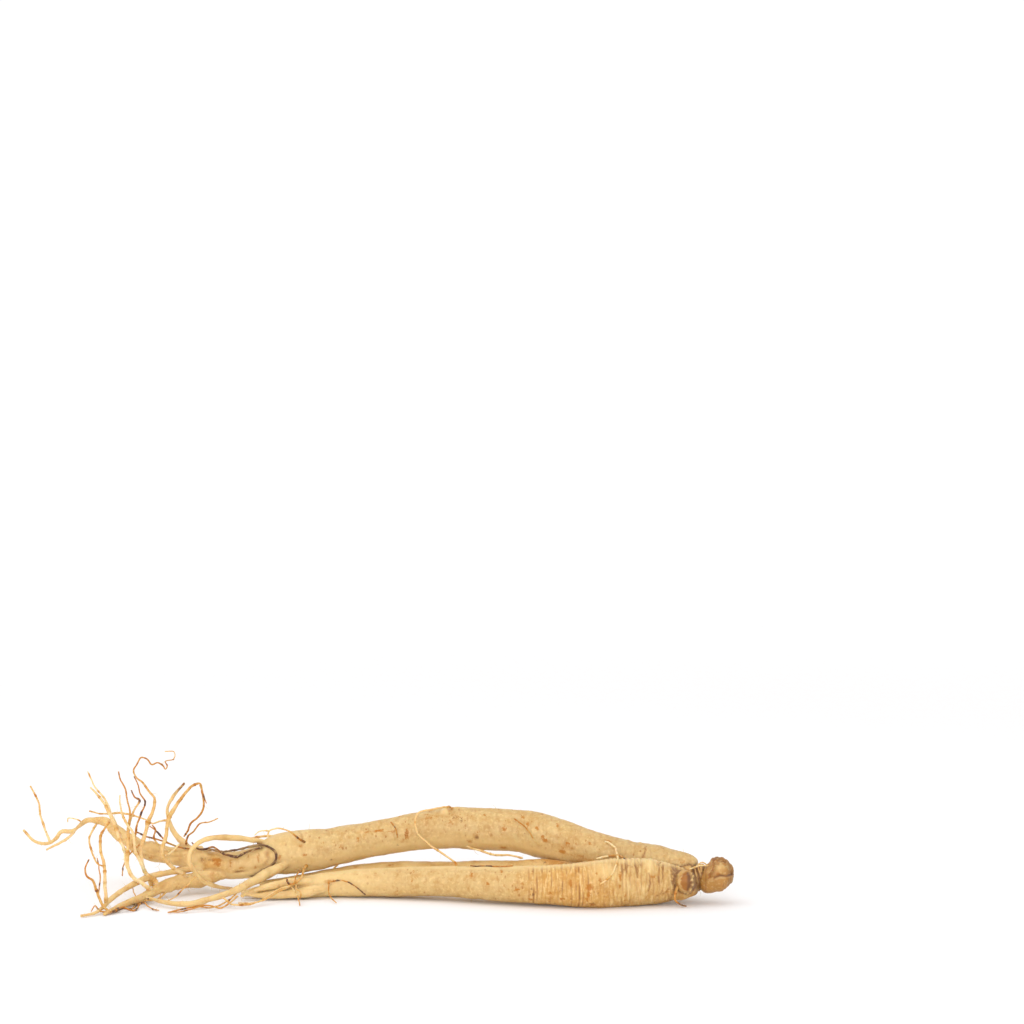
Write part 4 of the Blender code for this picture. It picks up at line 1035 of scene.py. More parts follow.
class Graph:
    """A node tree under construction: it places nodes in rows and wires their inputs."""

    def __init__(self, tree):
        self.tree = tree

    def node(self, kind, inputs=None, **settings):
        """Add a node, set its settings, and wire or set its inputs by name or number."""
        made = self.tree.nodes.new(kind)
        count = len(self.tree.nodes)
        made.location = (240 * (count % 9), -260 * (count // 9))
        for name, value in settings.items():
            setattr(made, name, value)
        for name, value in (inputs or {}).items():
            socket = made.inputs[name]
            if isinstance(value, bpy.types.NodeSocket):
                self.tree.links.new(value, socket)
            elif socket.type == "RGBA":
                socket.default_value = (*value, 1)
            else:
                socket.default_value = value
        return made

    def math(self, operation, first, second=0.0, clamp=False):
        """A Math node of two values."""
        return self.node(
            "ShaderNodeMath", {0: first, 1: second}, operation=operation, use_clamp=clamp
        ).outputs[0]

    def plus(self, first, second, clamp=False):
        """The sum of two values."""
        return self.math("ADD", first, second, clamp)

    def minus(self, first, second, clamp=False):
        """A value less another."""
        return self.math("SUBTRACT", first, second, clamp)

    def times(self, first, second, clamp=False):
        """The product of two values."""
        return self.math("MULTIPLY", first, second, clamp)

    def scale(self, vector, factors):
        """A vector multiplied by three factors."""
        return self.node(
            "ShaderNodeVectorMath", {0: vector, 1: factors}, operation="MULTIPLY"
        ).outputs[0]

    def millimetres(self):
        """The place on the object, in millimetres."""
        place = self.node("ShaderNodeTexCoord").outputs["Object"]
        return self.scale(place, (1 / MM, 1 / MM, 1 / MM))

    def step(self, value, low, high):
        """Rises smoothly from 0 at low to 1 at high."""
        return self.node(
            "ShaderNodeMapRange", {"Value": value, "From Min": low, "From Max": high},
            interpolation_type="SMOOTHSTEP",
        ).outputs["Result"]

    def noise(self, vector, scale, detail=2.0, roughness=0.5):
        """The value of a Noise texture."""
        return self.node(
            "ShaderNodeTexNoise",
            {"Vector": vector, "Scale": scale, "Detail": detail, "Roughness": roughness},
        ).outputs["Fac"]

    def mix(self, share, first, second):
        """Two colours mixed by a share."""
        return self.node("ShaderNodeMix", {0: share, 6: first, 7: second}, data_type="RGBA").outputs[2]

    def blend(self, colour, other, share, amount):
        """A colour with another one mixed in where a share says so, up to an amount."""
        return self.mix(self.times(share, amount), colour, other)

    def attribute(self, name):
        """A painted mask or other value stored on the mesh."""
        return self.node("ShaderNodeAttribute", attribute_name=name).outputs["Fac"]

    def named(self, name):
        """A value stored on the geometry, for a Geometry Nodes tree."""
        return self.node("GeometryNodeInputNamedAttribute", {"Name": name}).outputs[0]

    def tube(self, curve, sides, radius):
        """A closed tube along a curve."""
        circle = self.node("GeometryNodeCurvePrimitiveCircle", {"Resolution": sides, "Radius": 1.0})
        return self.node("GeometryNodeCurveToMesh", {
            "Curve": curve, "Profile Curve": circle.outputs["Curve"], "Scale": radius, "Fill Caps": True,
        }).outputs["Mesh"]

    def plain(self, geometry):
        """Geometry with its instances made real."""
        return self.node("GeometryNodeRealizeInstances", {"Geometry": geometry}).outputs[0]

    def tinted(self, geometry, tint):
        """Geometry with a tint stored on it."""
        return self.node("GeometryNodeStoreNamedAttribute", {
            "Geometry": geometry, "Name": "tint", "Value": tint,
        }).outputs[0]

    def skinned(self, geometry, material):
        """Geometry with a material."""
        return self.node("GeometryNodeSetMaterial", {"Geometry": geometry, "Material": material}).outputs[0]


def new_group(name, kind, inputs, outputs):
    """A node group with named inputs (name, type, default) and outputs (name, type)."""
    tree = bpy.data.node_groups.new(name, kind)
    for socket_name, socket_type, default in inputs:
        socket = tree.interface.new_socket(socket_name, in_out="INPUT", socket_type=socket_type)
        if default is not None:
            socket.default_value = default
    for socket_name, socket_type in outputs:
        tree.interface.new_socket(socket_name, in_out="OUTPUT", socket_type=socket_type)
    graph = Graph(tree)
    entry = graph.node("NodeGroupInput")
    leave = graph.node("NodeGroupOutput")
    return tree, graph, entry.outputs, leave.inputs


def speck_mask(graph, spot, ragged, rarity, size):
    """Round to ragged specks in some cells of a Voronoi pattern, up to a size."""
    cells = graph.node("ShaderNodeTexVoronoi", {"Vector": spot, "Scale": 1})
    chance = graph.node("ShaderNodeSeparateColor", {"Color": cells.outputs["Color"]}).outputs[0]
    reach = graph.times(graph.step(chance, rarity, 1.0), size)
    inside = graph.minus(reach, graph.plus(cells.outputs["Distance"], ragged))
    return graph.step(inside, -0.02, 0.08)


def root_grain_group():
    """Shader group: the cream skin with its mottling, cross dashes, specks and fine relief."""
    tree, graph, given, result = new_group(
        "root_grain", "ShaderNodeTree",
        [
            ("Base", "NodeSocketColor", (0.7, 0.5, 0.25, 1)),
            ("Warm", "NodeSocketColor", (0.7, 0.45, 0.15, 1)),
            ("Pale", "NodeSocketColor", (0.8, 0.6, 0.3, 1)),
            ("Speck", "NodeSocketColor", (0.4, 0.2, 0.05, 1)),
            ("Speck Amount", "NodeSocketFloat", 1.0),
            ("Dash Amount", "NodeSocketFloat", 1.0),
        ],
        [("Color", "NodeSocketColor"), ("Mottle", "NodeSocketFloat"), ("Height", "NodeSocketFloat")],
    )
    spot = graph.millimetres()
    mottle = graph.noise(spot, 0.2, 3, 0.6)
    blotch = graph.noise(spot, 0.55, 4, 0.6)
    patch = graph.step(graph.noise(spot, 0.28), 0.46, 0.62)
    dash = graph.step(graph.noise(graph.scale(spot, (2.6, 0.5, 0.5)), 1), 0.6, 0.7)
    fine = graph.noise(graph.scale(spot, (5.5, 1.3, 1.3)), 1, 3, 0.6)
    grime = graph.step(graph.noise(spot, 1.7, 4, 0.7), 0.5, 0.68)
    bloom = graph.step(graph.noise(spot, 1.1, 3, 0.65), 0.47, 0.33)
    ragged = graph.times(graph.minus(graph.noise(spot, 2.2, 2, 0.6), 0.5), 0.5)
    speck = speck_mask(graph, graph.scale(spot, (1.05, 0.7, 0.7)), ragged, 0.36, 0.36)
    speck = graph.times(speck, graph.step(patch, 0.0, 0.9))
    dot = speck_mask(graph, graph.scale(spot, (0.4, 0.3, 0.3)), graph.times(ragged, 0.5), 0.66, 0.2)
    mottled = graph.times(graph.step(mottle, 0.38, 0.66), 0.4)
    blotched = graph.times(graph.step(blotch, 0.48, 0.68), 0.5)
    colour = graph.mix(graph.plus(mottled, blotched, True), given["Base"], given["Warm"])
    colour = graph.blend(colour, given["Pale"], graph.step(blotch, 0.5, 0.3), 0.16)
    colour = graph.blend(colour, given["Warm"], graph.step(fine, 0.5, 0.75), 0.22)
    colour = graph.blend(colour, given["Speck"], grime, 0.24)
    colour = graph.blend(colour, given["Pale"], bloom, 0.4)
    dashes = graph.times(graph.times(dash, patch), given["Dash Amount"], True)
    colour = graph.blend(colour, given["Speck"], dashes, 0.5)
    specks = graph.times(graph.math("MAXIMUM", speck, dot), given["Speck Amount"], True)
    colour = graph.mix(specks, colour, given["Speck"])
    height = graph.plus(graph.times(fine, 0.6), graph.times(blotch, 0.8))
    height = graph.minus(height, graph.times(dashes, 0.35))
    height = graph.minus(height, graph.times(specks, 0.25))
    for name, value in (("Color", colour), ("Mottle", mottle), ("Height", height)):
        tree.links.new(value, result[name])
    return tree


def new_material(name, settings, colour_of):
    """A skin material: its colour, mottle and height wired to a Principled shader with a bump."""
    material = bpy.data.materials.new(name)
    material.use_nodes = True
    material.node_tree.nodes.clear()
    graph = Graph(material.node_tree)
    colour, roughness, height = colour_of(graph)
    bump = graph.node("ShaderNodeBump", {"Height": height, "Strength": 0.45, "Distance": 0.00012})
    shader = graph.node("ShaderNodeBsdfPrincipled", {
        "Base Color": colour,
        "Roughness": roughness,
        "Normal": bump.outputs["Normal"],
        "Subsurface Weight": settings.translucency,
        "Subsurface Radius": (1.0, 0.5, 0.22),
        "Subsurface Scale": 0.001,
        "Specular IOR Level": 0.35,
    })
    graph.node("ShaderNodeOutputMaterial", {"Surface": shader.outputs[0]})
    return material


def grain_node(graph, group, base, warm, settings, specks, dashes):
    """The shared grain group placed in a material with its own values."""
    return graph.node("ShaderNodeGroup", {
        "Base": base, "Warm": warm, "Pale": settings.pale, "Speck": settings.speck,
        "Speck Amount": specks, "Dash Amount": dashes,
    }, node_tree=group).outputs


def body_material(settings, group):
    """Cream root skin, coloured by the masks painted on the body."""

    def colours(graph):
        golden = graph.attribute("golden")
        gilt = graph.times(golden, 1.0, True)
        ripe = graph.minus(golden, 1.0, True)
        base = graph.mix(gilt, settings.cream, settings.gold)
        base = graph.mix(ripe, base, settings.amber)
        warm = graph.mix(gilt, settings.warm, settings.amber)
        specks = settings.speck_amount
        grain = grain_node(graph, group, base, warm, settings, specks, settings.dash_amount)
        spot = graph.millimetres()
        loose = graph.times(graph.minus(graph.noise(spot, 1.5, 5, 0.75), 0.5), 2.6)

        def crumbly(name, low, high):
            """A painted mask that breaks up into crumbs."""
            mask = graph.attribute(name)
            crumbs = graph.step(graph.plus(mask, loose), low, high)
            return graph.times(crumbs, graph.step(mask, 0.02, 0.3))

        ringed = graph.attribute("ringed")
        lines = graph.noise(graph.scale(spot, (1.7, 0.26, 0.26)), 1, 3, 0.7)
        dark_line = graph.times(graph.step(lines, 0.5, 0.62), ringed)
        light_line = graph.times(graph.step(lines, 0.46, 0.36), ringed)
        groove = graph.attribute("groove")
        soil = crumbly("soil", 0.35, 0.95)
        colour = graph.blend(grain["Color"], settings.amber, dark_line, 0.4)
        colour = graph.blend(colour, settings.pale, light_line, 0.65)
        # Darker in the hollows, grooves and creases: their own brown together with painted shade.
        colour = graph.blend(colour, settings.speck, graph.step(graph.attribute("hollow"), 0.12, 0.9), 0.35)
        colour = graph.blend(colour, settings.speck, graph.step(groove, 0.03, 0.5), 0.45)
        colour = graph.blend(colour, settings.crease, graph.step(groove, 0.45, 1), 0.6)
        colour = graph.blend(colour, settings.pale, graph.step(graph.attribute("ridge"), 0.15, 0.9), 0.3)
        colour = graph.blend(colour, settings.stain, crumbly("stain", 0.3, 0.85), 0.92)
        # The bark and soil masks also lay painted shade along the seams, between the legs and in the gap
        # under the knob, and the pale mask lays painted light on the legs and painted highlights.
        colour = graph.mix(graph.attribute("bark"), colour, settings.bark)
        colour = graph.blend(colour, settings.soil, soil, 0.85)
        colour = graph.blend(colour, settings.pale, graph.attribute("pale"), 0.8)
        roughness = graph.plus(graph.times(grain["Mottle"], 0.3), settings.roughness - 0.15)
        height = graph.plus(grain["Height"], graph.times(soil, graph.noise(spot, 3, 3, 0.7)))
        height = graph.minus(height, graph.times(dark_line, 0.7))
        return colour, roughness, height

    return new_material("cream_skin", settings, colours)


def rootlet_material(settings, group):
    """Rootlet skin from cream to dark brown, by the tint stored on each rootlet."""

    def colours(graph):
        drift = graph.minus(graph.noise(graph.millimetres(), 0.5, 3, 0.6), 0.5)
        tint = graph.plus(graph.attribute("tint"), graph.times(drift, 0.6), True)
        ramp = graph.node("ShaderNodeValToRGB", {"Fac": tint})
        stops = ramp.color_ramp.elements
        stops[0].color = (*settings.young, 1)
        stops[1].color = (*settings.bark, 1)
        for position, colour in ((0.5, settings.gold), (0.68, settings.amber), (0.86, settings.stain)):
            stops.new(position).color = (*colour, 1)
        shade = ramp.outputs["Color"]
        grain = grain_node(graph, group, shade, shade, settings, 0.5, 0.6)
        roughness = graph.plus(graph.times(grain["Mottle"], 0.2), settings.roughness)
        return grain["Color"], roughness, grain["Height"]

    return new_material("rootlet_skin", settings, colours)


def neighbour_means(values, edges, counts):
    """The mean of each vertex's neighbours, for one or several values a vertex."""
    total = np.zeros_like(values)
    for column in range(values.shape[1]):
        total[:, column] = np.bincount(
            edges[:, 0], weights=values[edges[:, 1], column], minlength=len(values)
        ) + np.bincount(edges[:, 1], weights=values[edges[:, 0], column], minlength=len(values))
    return total / counts[:, None]


def point_tree(points):
    """A search tree of points."""
    tree = kdtree.KDTree(len(points))
    for index, point in enumerate(points):
        tree.insert(point, index)
    tree.balance()
    return tree


def seam_distances(points, edges, labels):
    """How far each vertex is from the nearest seam between two tubes, in millimetres."""
    crossing = labels[edges[:, 0]] != labels[edges[:, 1]]
    tree = point_tree(points[np.unique(edges[crossing])])
    return np.array([tree.find(point)[2] for point in points])


def soften_grafts(points, edges, counts, masks, distances):
    """Round off the seams where two tubes meet, and blend their masks there."""
    weight = np.array([smooth_step(GRAFT_REACH, GRAFT_REACH * 0.3, distance) for distance in distances])
    weight[points[:, 0] > CRISP_FROM] *= CRISP_SHARE
    weight = weight[:, None]
    for _ in range(GRAFT_ROUNDS):
        points += POINT_PULL * weight * (neighbour_means(points, edges, counts) - points)
        masks += MASK_PULL * weight * (neighbour_means(masks, edges, counts) - masks)
    return points, masks


def soil_and_shade_in_seams(points, masks, distances):
    """Paint soil and brown along the seams, most of it between the legs and round the crown: soil together
    with painted shade.
    """
    near = np.exp(-((distances / SEAM_SOIL_AND_SHADE_REACH) ** 2))
    x = points[:, 0]
    amount = np.where(x > SEAM_SOIL_AND_SHADE_FROM, CROWN_SEAM_SOIL_AND_SHADE, LEG_SEAM_SOIL_AND_SHADE) * near
    amount[x < 0] *= FAR_SOIL_AND_SHADE_SHARE
    brown = np.where(x > CRISP_FROM, CROWN_SEAM_BROWN, SEAM_BROWN) * near
    for name, painted in (("soil", amount), ("bark", brown)):
        column = MASKS.index(name)
        masks[:, column] = np.maximum(masks[:, column], painted)
    return masks


def mesh_points(mesh):
    """The points of a mesh as an array, in metres."""
    points = np.zeros(len(mesh.vertices) * 3, np.float32)
    mesh.vertices.foreach_get("co", points)
    return points.reshape(-1, 3)


def move_points(mesh, points):
    """Put the points of a mesh in new places, in metres."""
    mesh.vertices.foreach_set("co", points.astype(np.float32).ravel())
    mesh.update()


def mesh_edges(mesh):
    """The edges of a mesh as pairs of vertex numbers."""
    edges = np.zeros(len(mesh.edges) * 2, np.int32)
    mesh.edges.foreach_get("vertices", edges)
    return edges.reshape(-1, 2)


def surface_normals(mesh):
    """The vertex normals of a mesh as an array."""
    normals = np.zeros(len(mesh.vertices) * 3, np.float32)
    mesh.vertex_normals.foreach_get("vector", normals)
    return normals.reshape(-1, 3).astype(float)


def relief_masks(points, edges, counts, normals):
    """How far each vertex lies in a hollow and on a ridge, from 0 to 1."""
    smooth = points.copy()
    for _ in range(FINE_ROUNDS):
        smooth += RELIEF_PULL * (neighbour_means(smooth, edges, counts) - smooth)
    sunk = ((smooth - points) * normals).sum(1)[:, None]
    usual = sunk.copy()
    for _ in range(BROAD_ROUNDS):
        usual += RELIEF_PULL * (neighbour_means(usual, edges, counts) - usual)
    sunk = (sunk - usual)[:, 0]
    return np.clip(sunk / FULL_RELIEF, 0, 1), np.clip(-sunk / FULL_RELIEF, 0, 1)


def store(mesh, name, values):
    """Store one value a vertex under a name that materials and node trees read."""
    layer = mesh.attributes.new(name, "FLOAT", "POINT")
    layer.data.foreach_set("value", np.asarray(values, np.float32))


def grow_together(tubes):
    """One closed mesh from all the tubes, by a Boolean union."""
    others = bpy.data.collections.new("tubes")
    bpy.context.scene.collection.children.link(others)
    body = tubes[0]
    bpy.context.scene.collection.objects.link(body)
    for tube in tubes[1:]:
        others.objects.link(tube)
    union = body.modifiers.new("grown_together", "BOOLEAN")
    union.operation = "UNION"
    union.operand_type = "COLLECTION"
    union.collection = others
    union.solver = "MANIFOLD"
    mesh = plain_mesh(body)
    for tube in tubes:
        bpy.data.objects.remove(tube)
    bpy.data.collections.remove(others)
    return mesh


def plain_mesh(thing):
    """The evaluated mesh of an object, as a mesh of its own."""
    bpy.context.view_layer.update()
    graph = bpy.context.evaluated_depsgraph_get()
    return bpy.data.meshes.new_from_object(
        thing.evaluated_get(graph), preserve_all_data_layers=True, depsgraph=graph
    )


def show(name, mesh, material):
    """Add a finished piece at the origin, riding on the root and using its skin slot."""
    mesh.name = name
    mesh.materials.clear()
    mesh.materials.append(material)
    mesh.shade_smooth()
    piece = bpy.data.objects.new(name, mesh)
    bpy.context.scene.collection.objects.link(piece)
    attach(piece, BODY)
    return piece


def skin_of(name):
    """A material by name, made on first use together with its twin."""
    if name not in bpy.data.materials:
        settings = bpy.context.scene.ginseng_skin
        group = root_grain_group()
        body_material(settings, group)
        rootlet_material(settings, group)
    return bpy.data.materials[name]


def lay_tubes(relief):
    """The tubes of the legs, crown, tail and side roots, before they grow together."""
    skin = Skin()
    rings = ring_grooves(relief)
    surfaces = {
        # Painted light: the lower leg paler along its top, the upper leg paler on its underside and the
        # third leg paler all over.
        "lower_leg": leg_surface("lower_leg", relief, lower_gold, lower_light, rings, painted_top_light=0.9),
        "upper_leg": leg_surface("upper_leg", relief, upper_gold, upper_light, painted_underside_light=0.9),
        "third_leg": leg_surface("third_leg", relief, lambda x: 0.8, lower_light, painted_light_all_over=1),
        "tail": side_root_surface(0.95, 0, 0),
        "neck": neck_surface,
        "crown_foot": foot_surface,
        "bud": bud_surface,
        "knob": knob_surface,
    }
    for name, surface in surfaces.items():
        skin.add_tube(name, surface, *MAIN_TUBES[name])
    for name, (golden, bark, route) in SIDE_ROOTS.items():
        stout = max(point[3] for point in route) > STOUT_SIDE_ROOT
        sides = STOUT_SIDES if stout else THIN_SIDES
        surface = side_root_surface(golden, bark, 1 if name == "pale_shoot" else 0)
        skin.add_tube(name, surface, route, sides, SIDE_ROOT_STEP, SIDE_ROOT_BULGE)
    return skin


def build_body(relief):
    """Grow the legs, crown, tail and side roots into one skin with its painted masks."""
    skin = lay_tubes(relief)
    mesh = grow_together(skin.tubes)
    points = mesh_points(mesh).astype(float) / MM
    edges = mesh_edges(mesh)
    counts = np.maximum(np.bincount(edges.ravel(), minlength=len(points)), 1)
    tree = point_tree(skin.points)
    nearest = np.array([tree.find(point)[1] for point in points])
    masks = np.array(skin.masks, float)[nearest]
    labels = np.array(skin.labels)[nearest]
    distances = seam_distances(points, edges, labels)
    points, masks = soften_grafts(points, edges, counts, masks, distances)
    masks = soil_and_shade_in_seams(points, masks, distances)
    points[:, 2] = np.maximum(points[:, 2], CAD_LOW.z / MM)
    move_points(mesh, points * MM)
    hollow, ridge = relief_masks(points, edges, counts, surface_normals(mesh))
    for column, name in enumerate(MASKS):
        store(mesh, name, masks[:, column])
    store(mesh, "hollow", hollow)
    store(mesh, "ridge", ridge)
    return mesh


def on_leg(leg, x, turn, lift):
    """A point over a leg's surface, at a place along X and a turn round the leg."""
    nearest = min(smooth_route(MAIN_TUBES[leg][0]), key=lambda point: abs(point.x - x))
    reach = nearest.w / 2 + lift
    angle = math.radians(turn)
    return Vector((x, nearest.y - reach * math.sin(angle), nearest.z + reach * math.cos(angle)))


def rootlet_tree(material):
    """Geometry Nodes tree: polylines with a thickness become knotty tubes."""
    tree, graph, given, result = new_group(
        "rootlet_tubes", "GeometryNodeTree",
        [
            ("Lines", "NodeSocketGeometry", None),
            ("Sides", "NodeSocketInt", 8),
            ("Knot Size", "NodeSocketFloat", 0.3),
            ("Knot Tint", "NodeSocketFloat", 0.36),
            ("Bumps", "NodeSocketFloat", 0.3),
            ("Knots per Metre", "NodeSocketFloat", 500.0),
            ("Wander", "NodeSocketFloat", 0.0002),
        ],
        [("Tubes", "NodeSocketGeometry")],
    )
    curve = graph.node("GeometryNodeMeshToCurve", {"Mesh": given["Lines"]}).outputs["Curve"]
    place = graph.node("GeometryNodeInputPosition").outputs[0]
    swing = graph.node("ShaderNodeTexNoise", {"Vector": place, "Scale": 260.0, "Detail": 2.0})
    offset = graph.node(
        "ShaderNodeVectorMath", {0: swing.outputs["Color"], 1: (0.5, 0.5, 0.5)}, operation="SUBTRACT"
    ).outputs[0]
    offset = graph.node(
        "ShaderNodeVectorMath", {0: offset, "Scale": given["Wander"]}, operation="SCALE"
    ).outputs[0]
    curve = graph.node("GeometryNodeSetPosition", {"Geometry": curve, "Offset": offset}).outputs[0]
    knots = graph.step(graph.noise(place, given["Knots per Metre"], 2, 0.6), 0.5, 0.72)
    bumps = graph.times(graph.noise(place, 1700.0, 1), given["Bumps"])
    swell = graph.plus(graph.plus(graph.times(knots, given["Knot Size"]), 0.8), bumps)
    radius = graph.times(graph.times(graph.named("thickness"), 0.5), swell)
    tint = graph.plus(graph.named("tint"), graph.times(knots, given["Knot Tint"]))
    tubes = graph.tube(graph.tinted(curve, tint), given["Sides"], radius)
    tree.links.new(graph.skinned(graph.plain(tubes), material), result["Tubes"])
    return tree


def grow_nodes(name, mesh, tree, values):
    """Run a Geometry Nodes tree on a mesh, with named values, and return the plain mesh."""
    seed = bpy.data.objects.new(name, mesh)
    bpy.context.scene.collection.objects.link(seed)
    modifier = seed.modifiers.new(name, "NODES")
    modifier.node_group = tree
    for socket in tree.interface.items_tree:
        if socket.in_out == "INPUT" and socket.name in values:
            modifier[socket.identifier] = values[socket.name]
    grown = plain_mesh(seed)
    bpy.data.objects.remove(seed)
    return grown


def hair_tree(material):
    """Geometry Nodes tree: short curved hairs scattered over the fuzzy parts of two pieces."""
    tree, graph, given, result = new_group(
        "root_hairs", "GeometryNodeTree",
        [
            ("Seed Mesh", "NodeSocketGeometry", None),
            ("Body", "NodeSocketObject", None),
            ("Rootlets", "NodeSocketObject", None),
            ("Hairs per Square Metre", "NodeSocketFloat", 100000.0),
            ("Length", "NodeSocketFloat", 0.0016),
            ("Thickness", "NodeSocketFloat", 0.0001),
            ("Seed", "NodeSocketInt", 3),
        ],
        [("Hairs", "NodeSocketGeometry")],
    )
    body = graph.node("GeometryNodeObjectInfo", {"Object": given["Body"]}).outputs["Geometry"]
    rootlets = graph.node("GeometryNodeObjectInfo", {"Object": given["Rootlets"]}).outputs["Geometry"]
    ground = graph.node("GeometryNodeJoinGeometry")
    tree.links.new(body, ground.inputs[0])
    tree.links.new(rootlets, ground.inputs[0])
    density = graph.times(graph.named("fuzz"), given["Hairs per Square Metre"])
    spread = graph.node("GeometryNodeDistributePointsOnFaces", {
        "Mesh": ground.outputs[0], "Density": density, "Seed": given["Seed"],
    })

    def beside_root(sideways, outward):
        """A place by the root of a hair, in shares of its length."""
        return graph.node("ShaderNodeCombineXYZ", {
            "X": graph.times(given["Length"], sideways), "Z": graph.times(given["Length"], outward),
        }).outputs[0]

    arc = graph.node("GeometryNodeCurveQuadraticBezier", {
        "Resolution": 5, "Start": beside_root(0, -0.1), "Middle": beside_root(0, 0.7),
        "End": beside_root(0.7, 0.8),
    }).outputs[0]
    along = graph.node("GeometryNodeSplineParameter").outputs["Factor"]
    taper = graph.minus(1.0, graph.times(along, 0.7))
    hair = graph.tube(arc, 4, graph.times(graph.times(taper, given["Thickness"]), 0.5))
    twist = graph.node("FunctionNodeRandomValue", {
        0: (-0.5, -0.5, -3.1), 1: (0.5, 0.5, 3.1), "Seed": given["Seed"],
    }, data_type="FLOAT_VECTOR").outputs[0]
    turned = graph.node("FunctionNodeRotateRotation", {
        "Rotation": spread.outputs["Rotation"], "Rotate By": twist,
    }, rotation_space="LOCAL").outputs[0]
    size = graph.node("FunctionNodeRandomValue", {2: 0.4, 3: 1.3, "Seed": given["Seed"]}).outputs[1]
    placed = graph.node("GeometryNodeInstanceOnPoints", {
        "Points": spread.outputs["Points"], "Instance": hair, "Rotation": turned, "Scale": size,
    }).outputs[0]
    hairs = graph.tinted(graph.plain(placed), HAIR_TINT)
    tree.links.new(graph.skinned(hairs, material), result["Hairs"])
    return tree


def keep_in_box(mesh):
    """Move points that stray under the table or out of the CAD box back to its faces."""
    low = np.array(CAD_LOW) - BOX_SLACK
    low[2] = CAD_LOW.z
    move_points(mesh, np.clip(mesh_points(mesh), low, np.array(CAD_HIGH) + BOX_SLACK))


def back_rootlets():
    """Routes of the short rootlets that wander out of the upper leg's far side."""
    source = random.Random(BACK_ROOTLET_SEED)
    routes = []
    for number in range(BACK_ROOTLETS):
        x, y, z, diameter = UPPER_LEG[BACK_ROOTLET_FIRST + 2 * number % BACK_ROOTLET_SPAN]
        place = Vector((x + source.uniform(-2, 2), y, z))
        heading = Vector((source.uniform(-0.6, 0.1), 1, source.uniform(-0.5, 0.6))).normalized()
        place += heading * (diameter / 2 - BACK_ROOTLET_SINK)
        route = []
        for point in range(BACK_ROOTLET_POINTS):
            share = point / (BACK_ROOTLET_POINTS - 1)
            route.append((*place, 1 - 0.4 * share))
            turn = Vector((source.uniform(-1, 0.2), source.uniform(-0.5, 0.3), -0.35))
            heading = (heading + turn * BACK_ROOTLET_TURN).normalized()
            place = place + heading * BACK_ROOTLET_LEAP
            place.z = max(place.z, BACK_ROOTLET_CLEARANCE)
        routes.append(route)
    return routes


def build_rootlets(settings):
    """All thin rootlets and surface threads as one mesh of knotty tubes."""
    rows = [(*BACK_ROOTLET_TINTS, route) for route in back_rootlets()]
    rows += ROOTLETS.values()
    for leg, base_tint, tip_tint, places in SURFACE_THREADS.values():
        route = [(*on_leg(leg, x, turn, THREAD_LIFT + size / 2), size) for x, turn, size in places]
        rows.append((base_tint, tip_tint, route))
    points, edges, thickness, tint = line_arrays(rows, settings.point_skip)
    lines = bpy.data.meshes.new("rootlet_lines")
    lines.from_pydata(points, edges, [])
    store(lines, "thickness", thickness)
    store(lines, "tint", tint)
    store(lines, "fuzz", [ROOTLET_FUZZ] * len(points))
    tree = rootlet_tree(skin_of("rootlet_skin"))
    return grow_nodes("rootlet_lines", lines, tree, {
        "Sides": settings.sides, "Knot Size": settings.knot_size, "Wander": settings.wander,
    })


def sky_white(settings):
    """A plain white surround that lights the root evenly."""
    world = bpy.data.worlds.new("white_surround")
    world.use_nodes = True
    background = world.node_tree.nodes["Background"]
    background.inputs["Color"].default_value = (1, 1, 1, 1)
    background.inputs["Strength"].default_value = settings.surround
    bpy.context.scene.world = world


def add_area_light(name, place, target, size, power):
    """A soft square white light that looks at a target."""
    lamp = bpy.data.lights.new(name, "AREA")
    lamp.size = size
    lamp.energy = power
    light = bpy.data.objects.new(name, lamp)
    light.location = place
    light.rotation_euler = (Vector(target) - Vector(place)).to_track_quat("-Z", "Y").to_euler()
    bpy.context.scene.collection.objects.link(light)


def floor_material(colour):
    """Matt white paper with a barely seen tooth, fading out far from the root."""
    material = bpy.data.materials.new("studio_paper")
    material.use_nodes = True
    material.node_tree.nodes.clear()
    graph = Graph(material.node_tree)
    place = graph.node("ShaderNodeTexCoord").outputs["Object"]
    tooth = graph.noise(place, 900, 2, 0.5)
    bump = graph.node("ShaderNodeBump", {"Height": tooth, "Strength": 0.05, "Distance": 0.00005})
    shader = graph.node("ShaderNodeBsdfPrincipled", {
        "Base Color": colour, "Roughness": 0.9, "Normal": bump.outputs["Normal"],
        "Specular IOR Level": 0.1,
    })
    distance = graph.node("ShaderNodeVectorMath", {0: place}, operation="LENGTH").outputs["Value"]
    open_air = graph.node("ShaderNodeBsdfTransparent").outputs[0]
    fading = graph.node("ShaderNodeMixShader", {
        0: graph.step(distance, FADE_START, FADE_END), 1: shader.outputs[0], 2: open_air,
    })
    graph.node("ShaderNodeOutputMaterial", {"Surface": fading.outputs[0]})
    return material


def colour_setting(name, value, description):
    """A colour in the panel."""
    return bpy.props.FloatVectorProperty(
        name=name, subtype="COLOR", size=3, min=0, max=1, default=value, description=description
    )


def share_setting(name, value, description):
    """A share from 0 to 1 in the panel."""
    return bpy.props.FloatProperty(
        name=name, subtype="FACTOR", min=0, max=1, default=value, description=description
    )


def distance_setting(name, value, description):
    """A distance of up to a centimetre in the panel."""
    return bpy.props.FloatProperty(
        name=name, default=value, min=0, max=0.01, unit="LENGTH", precision=5, description=description
    )


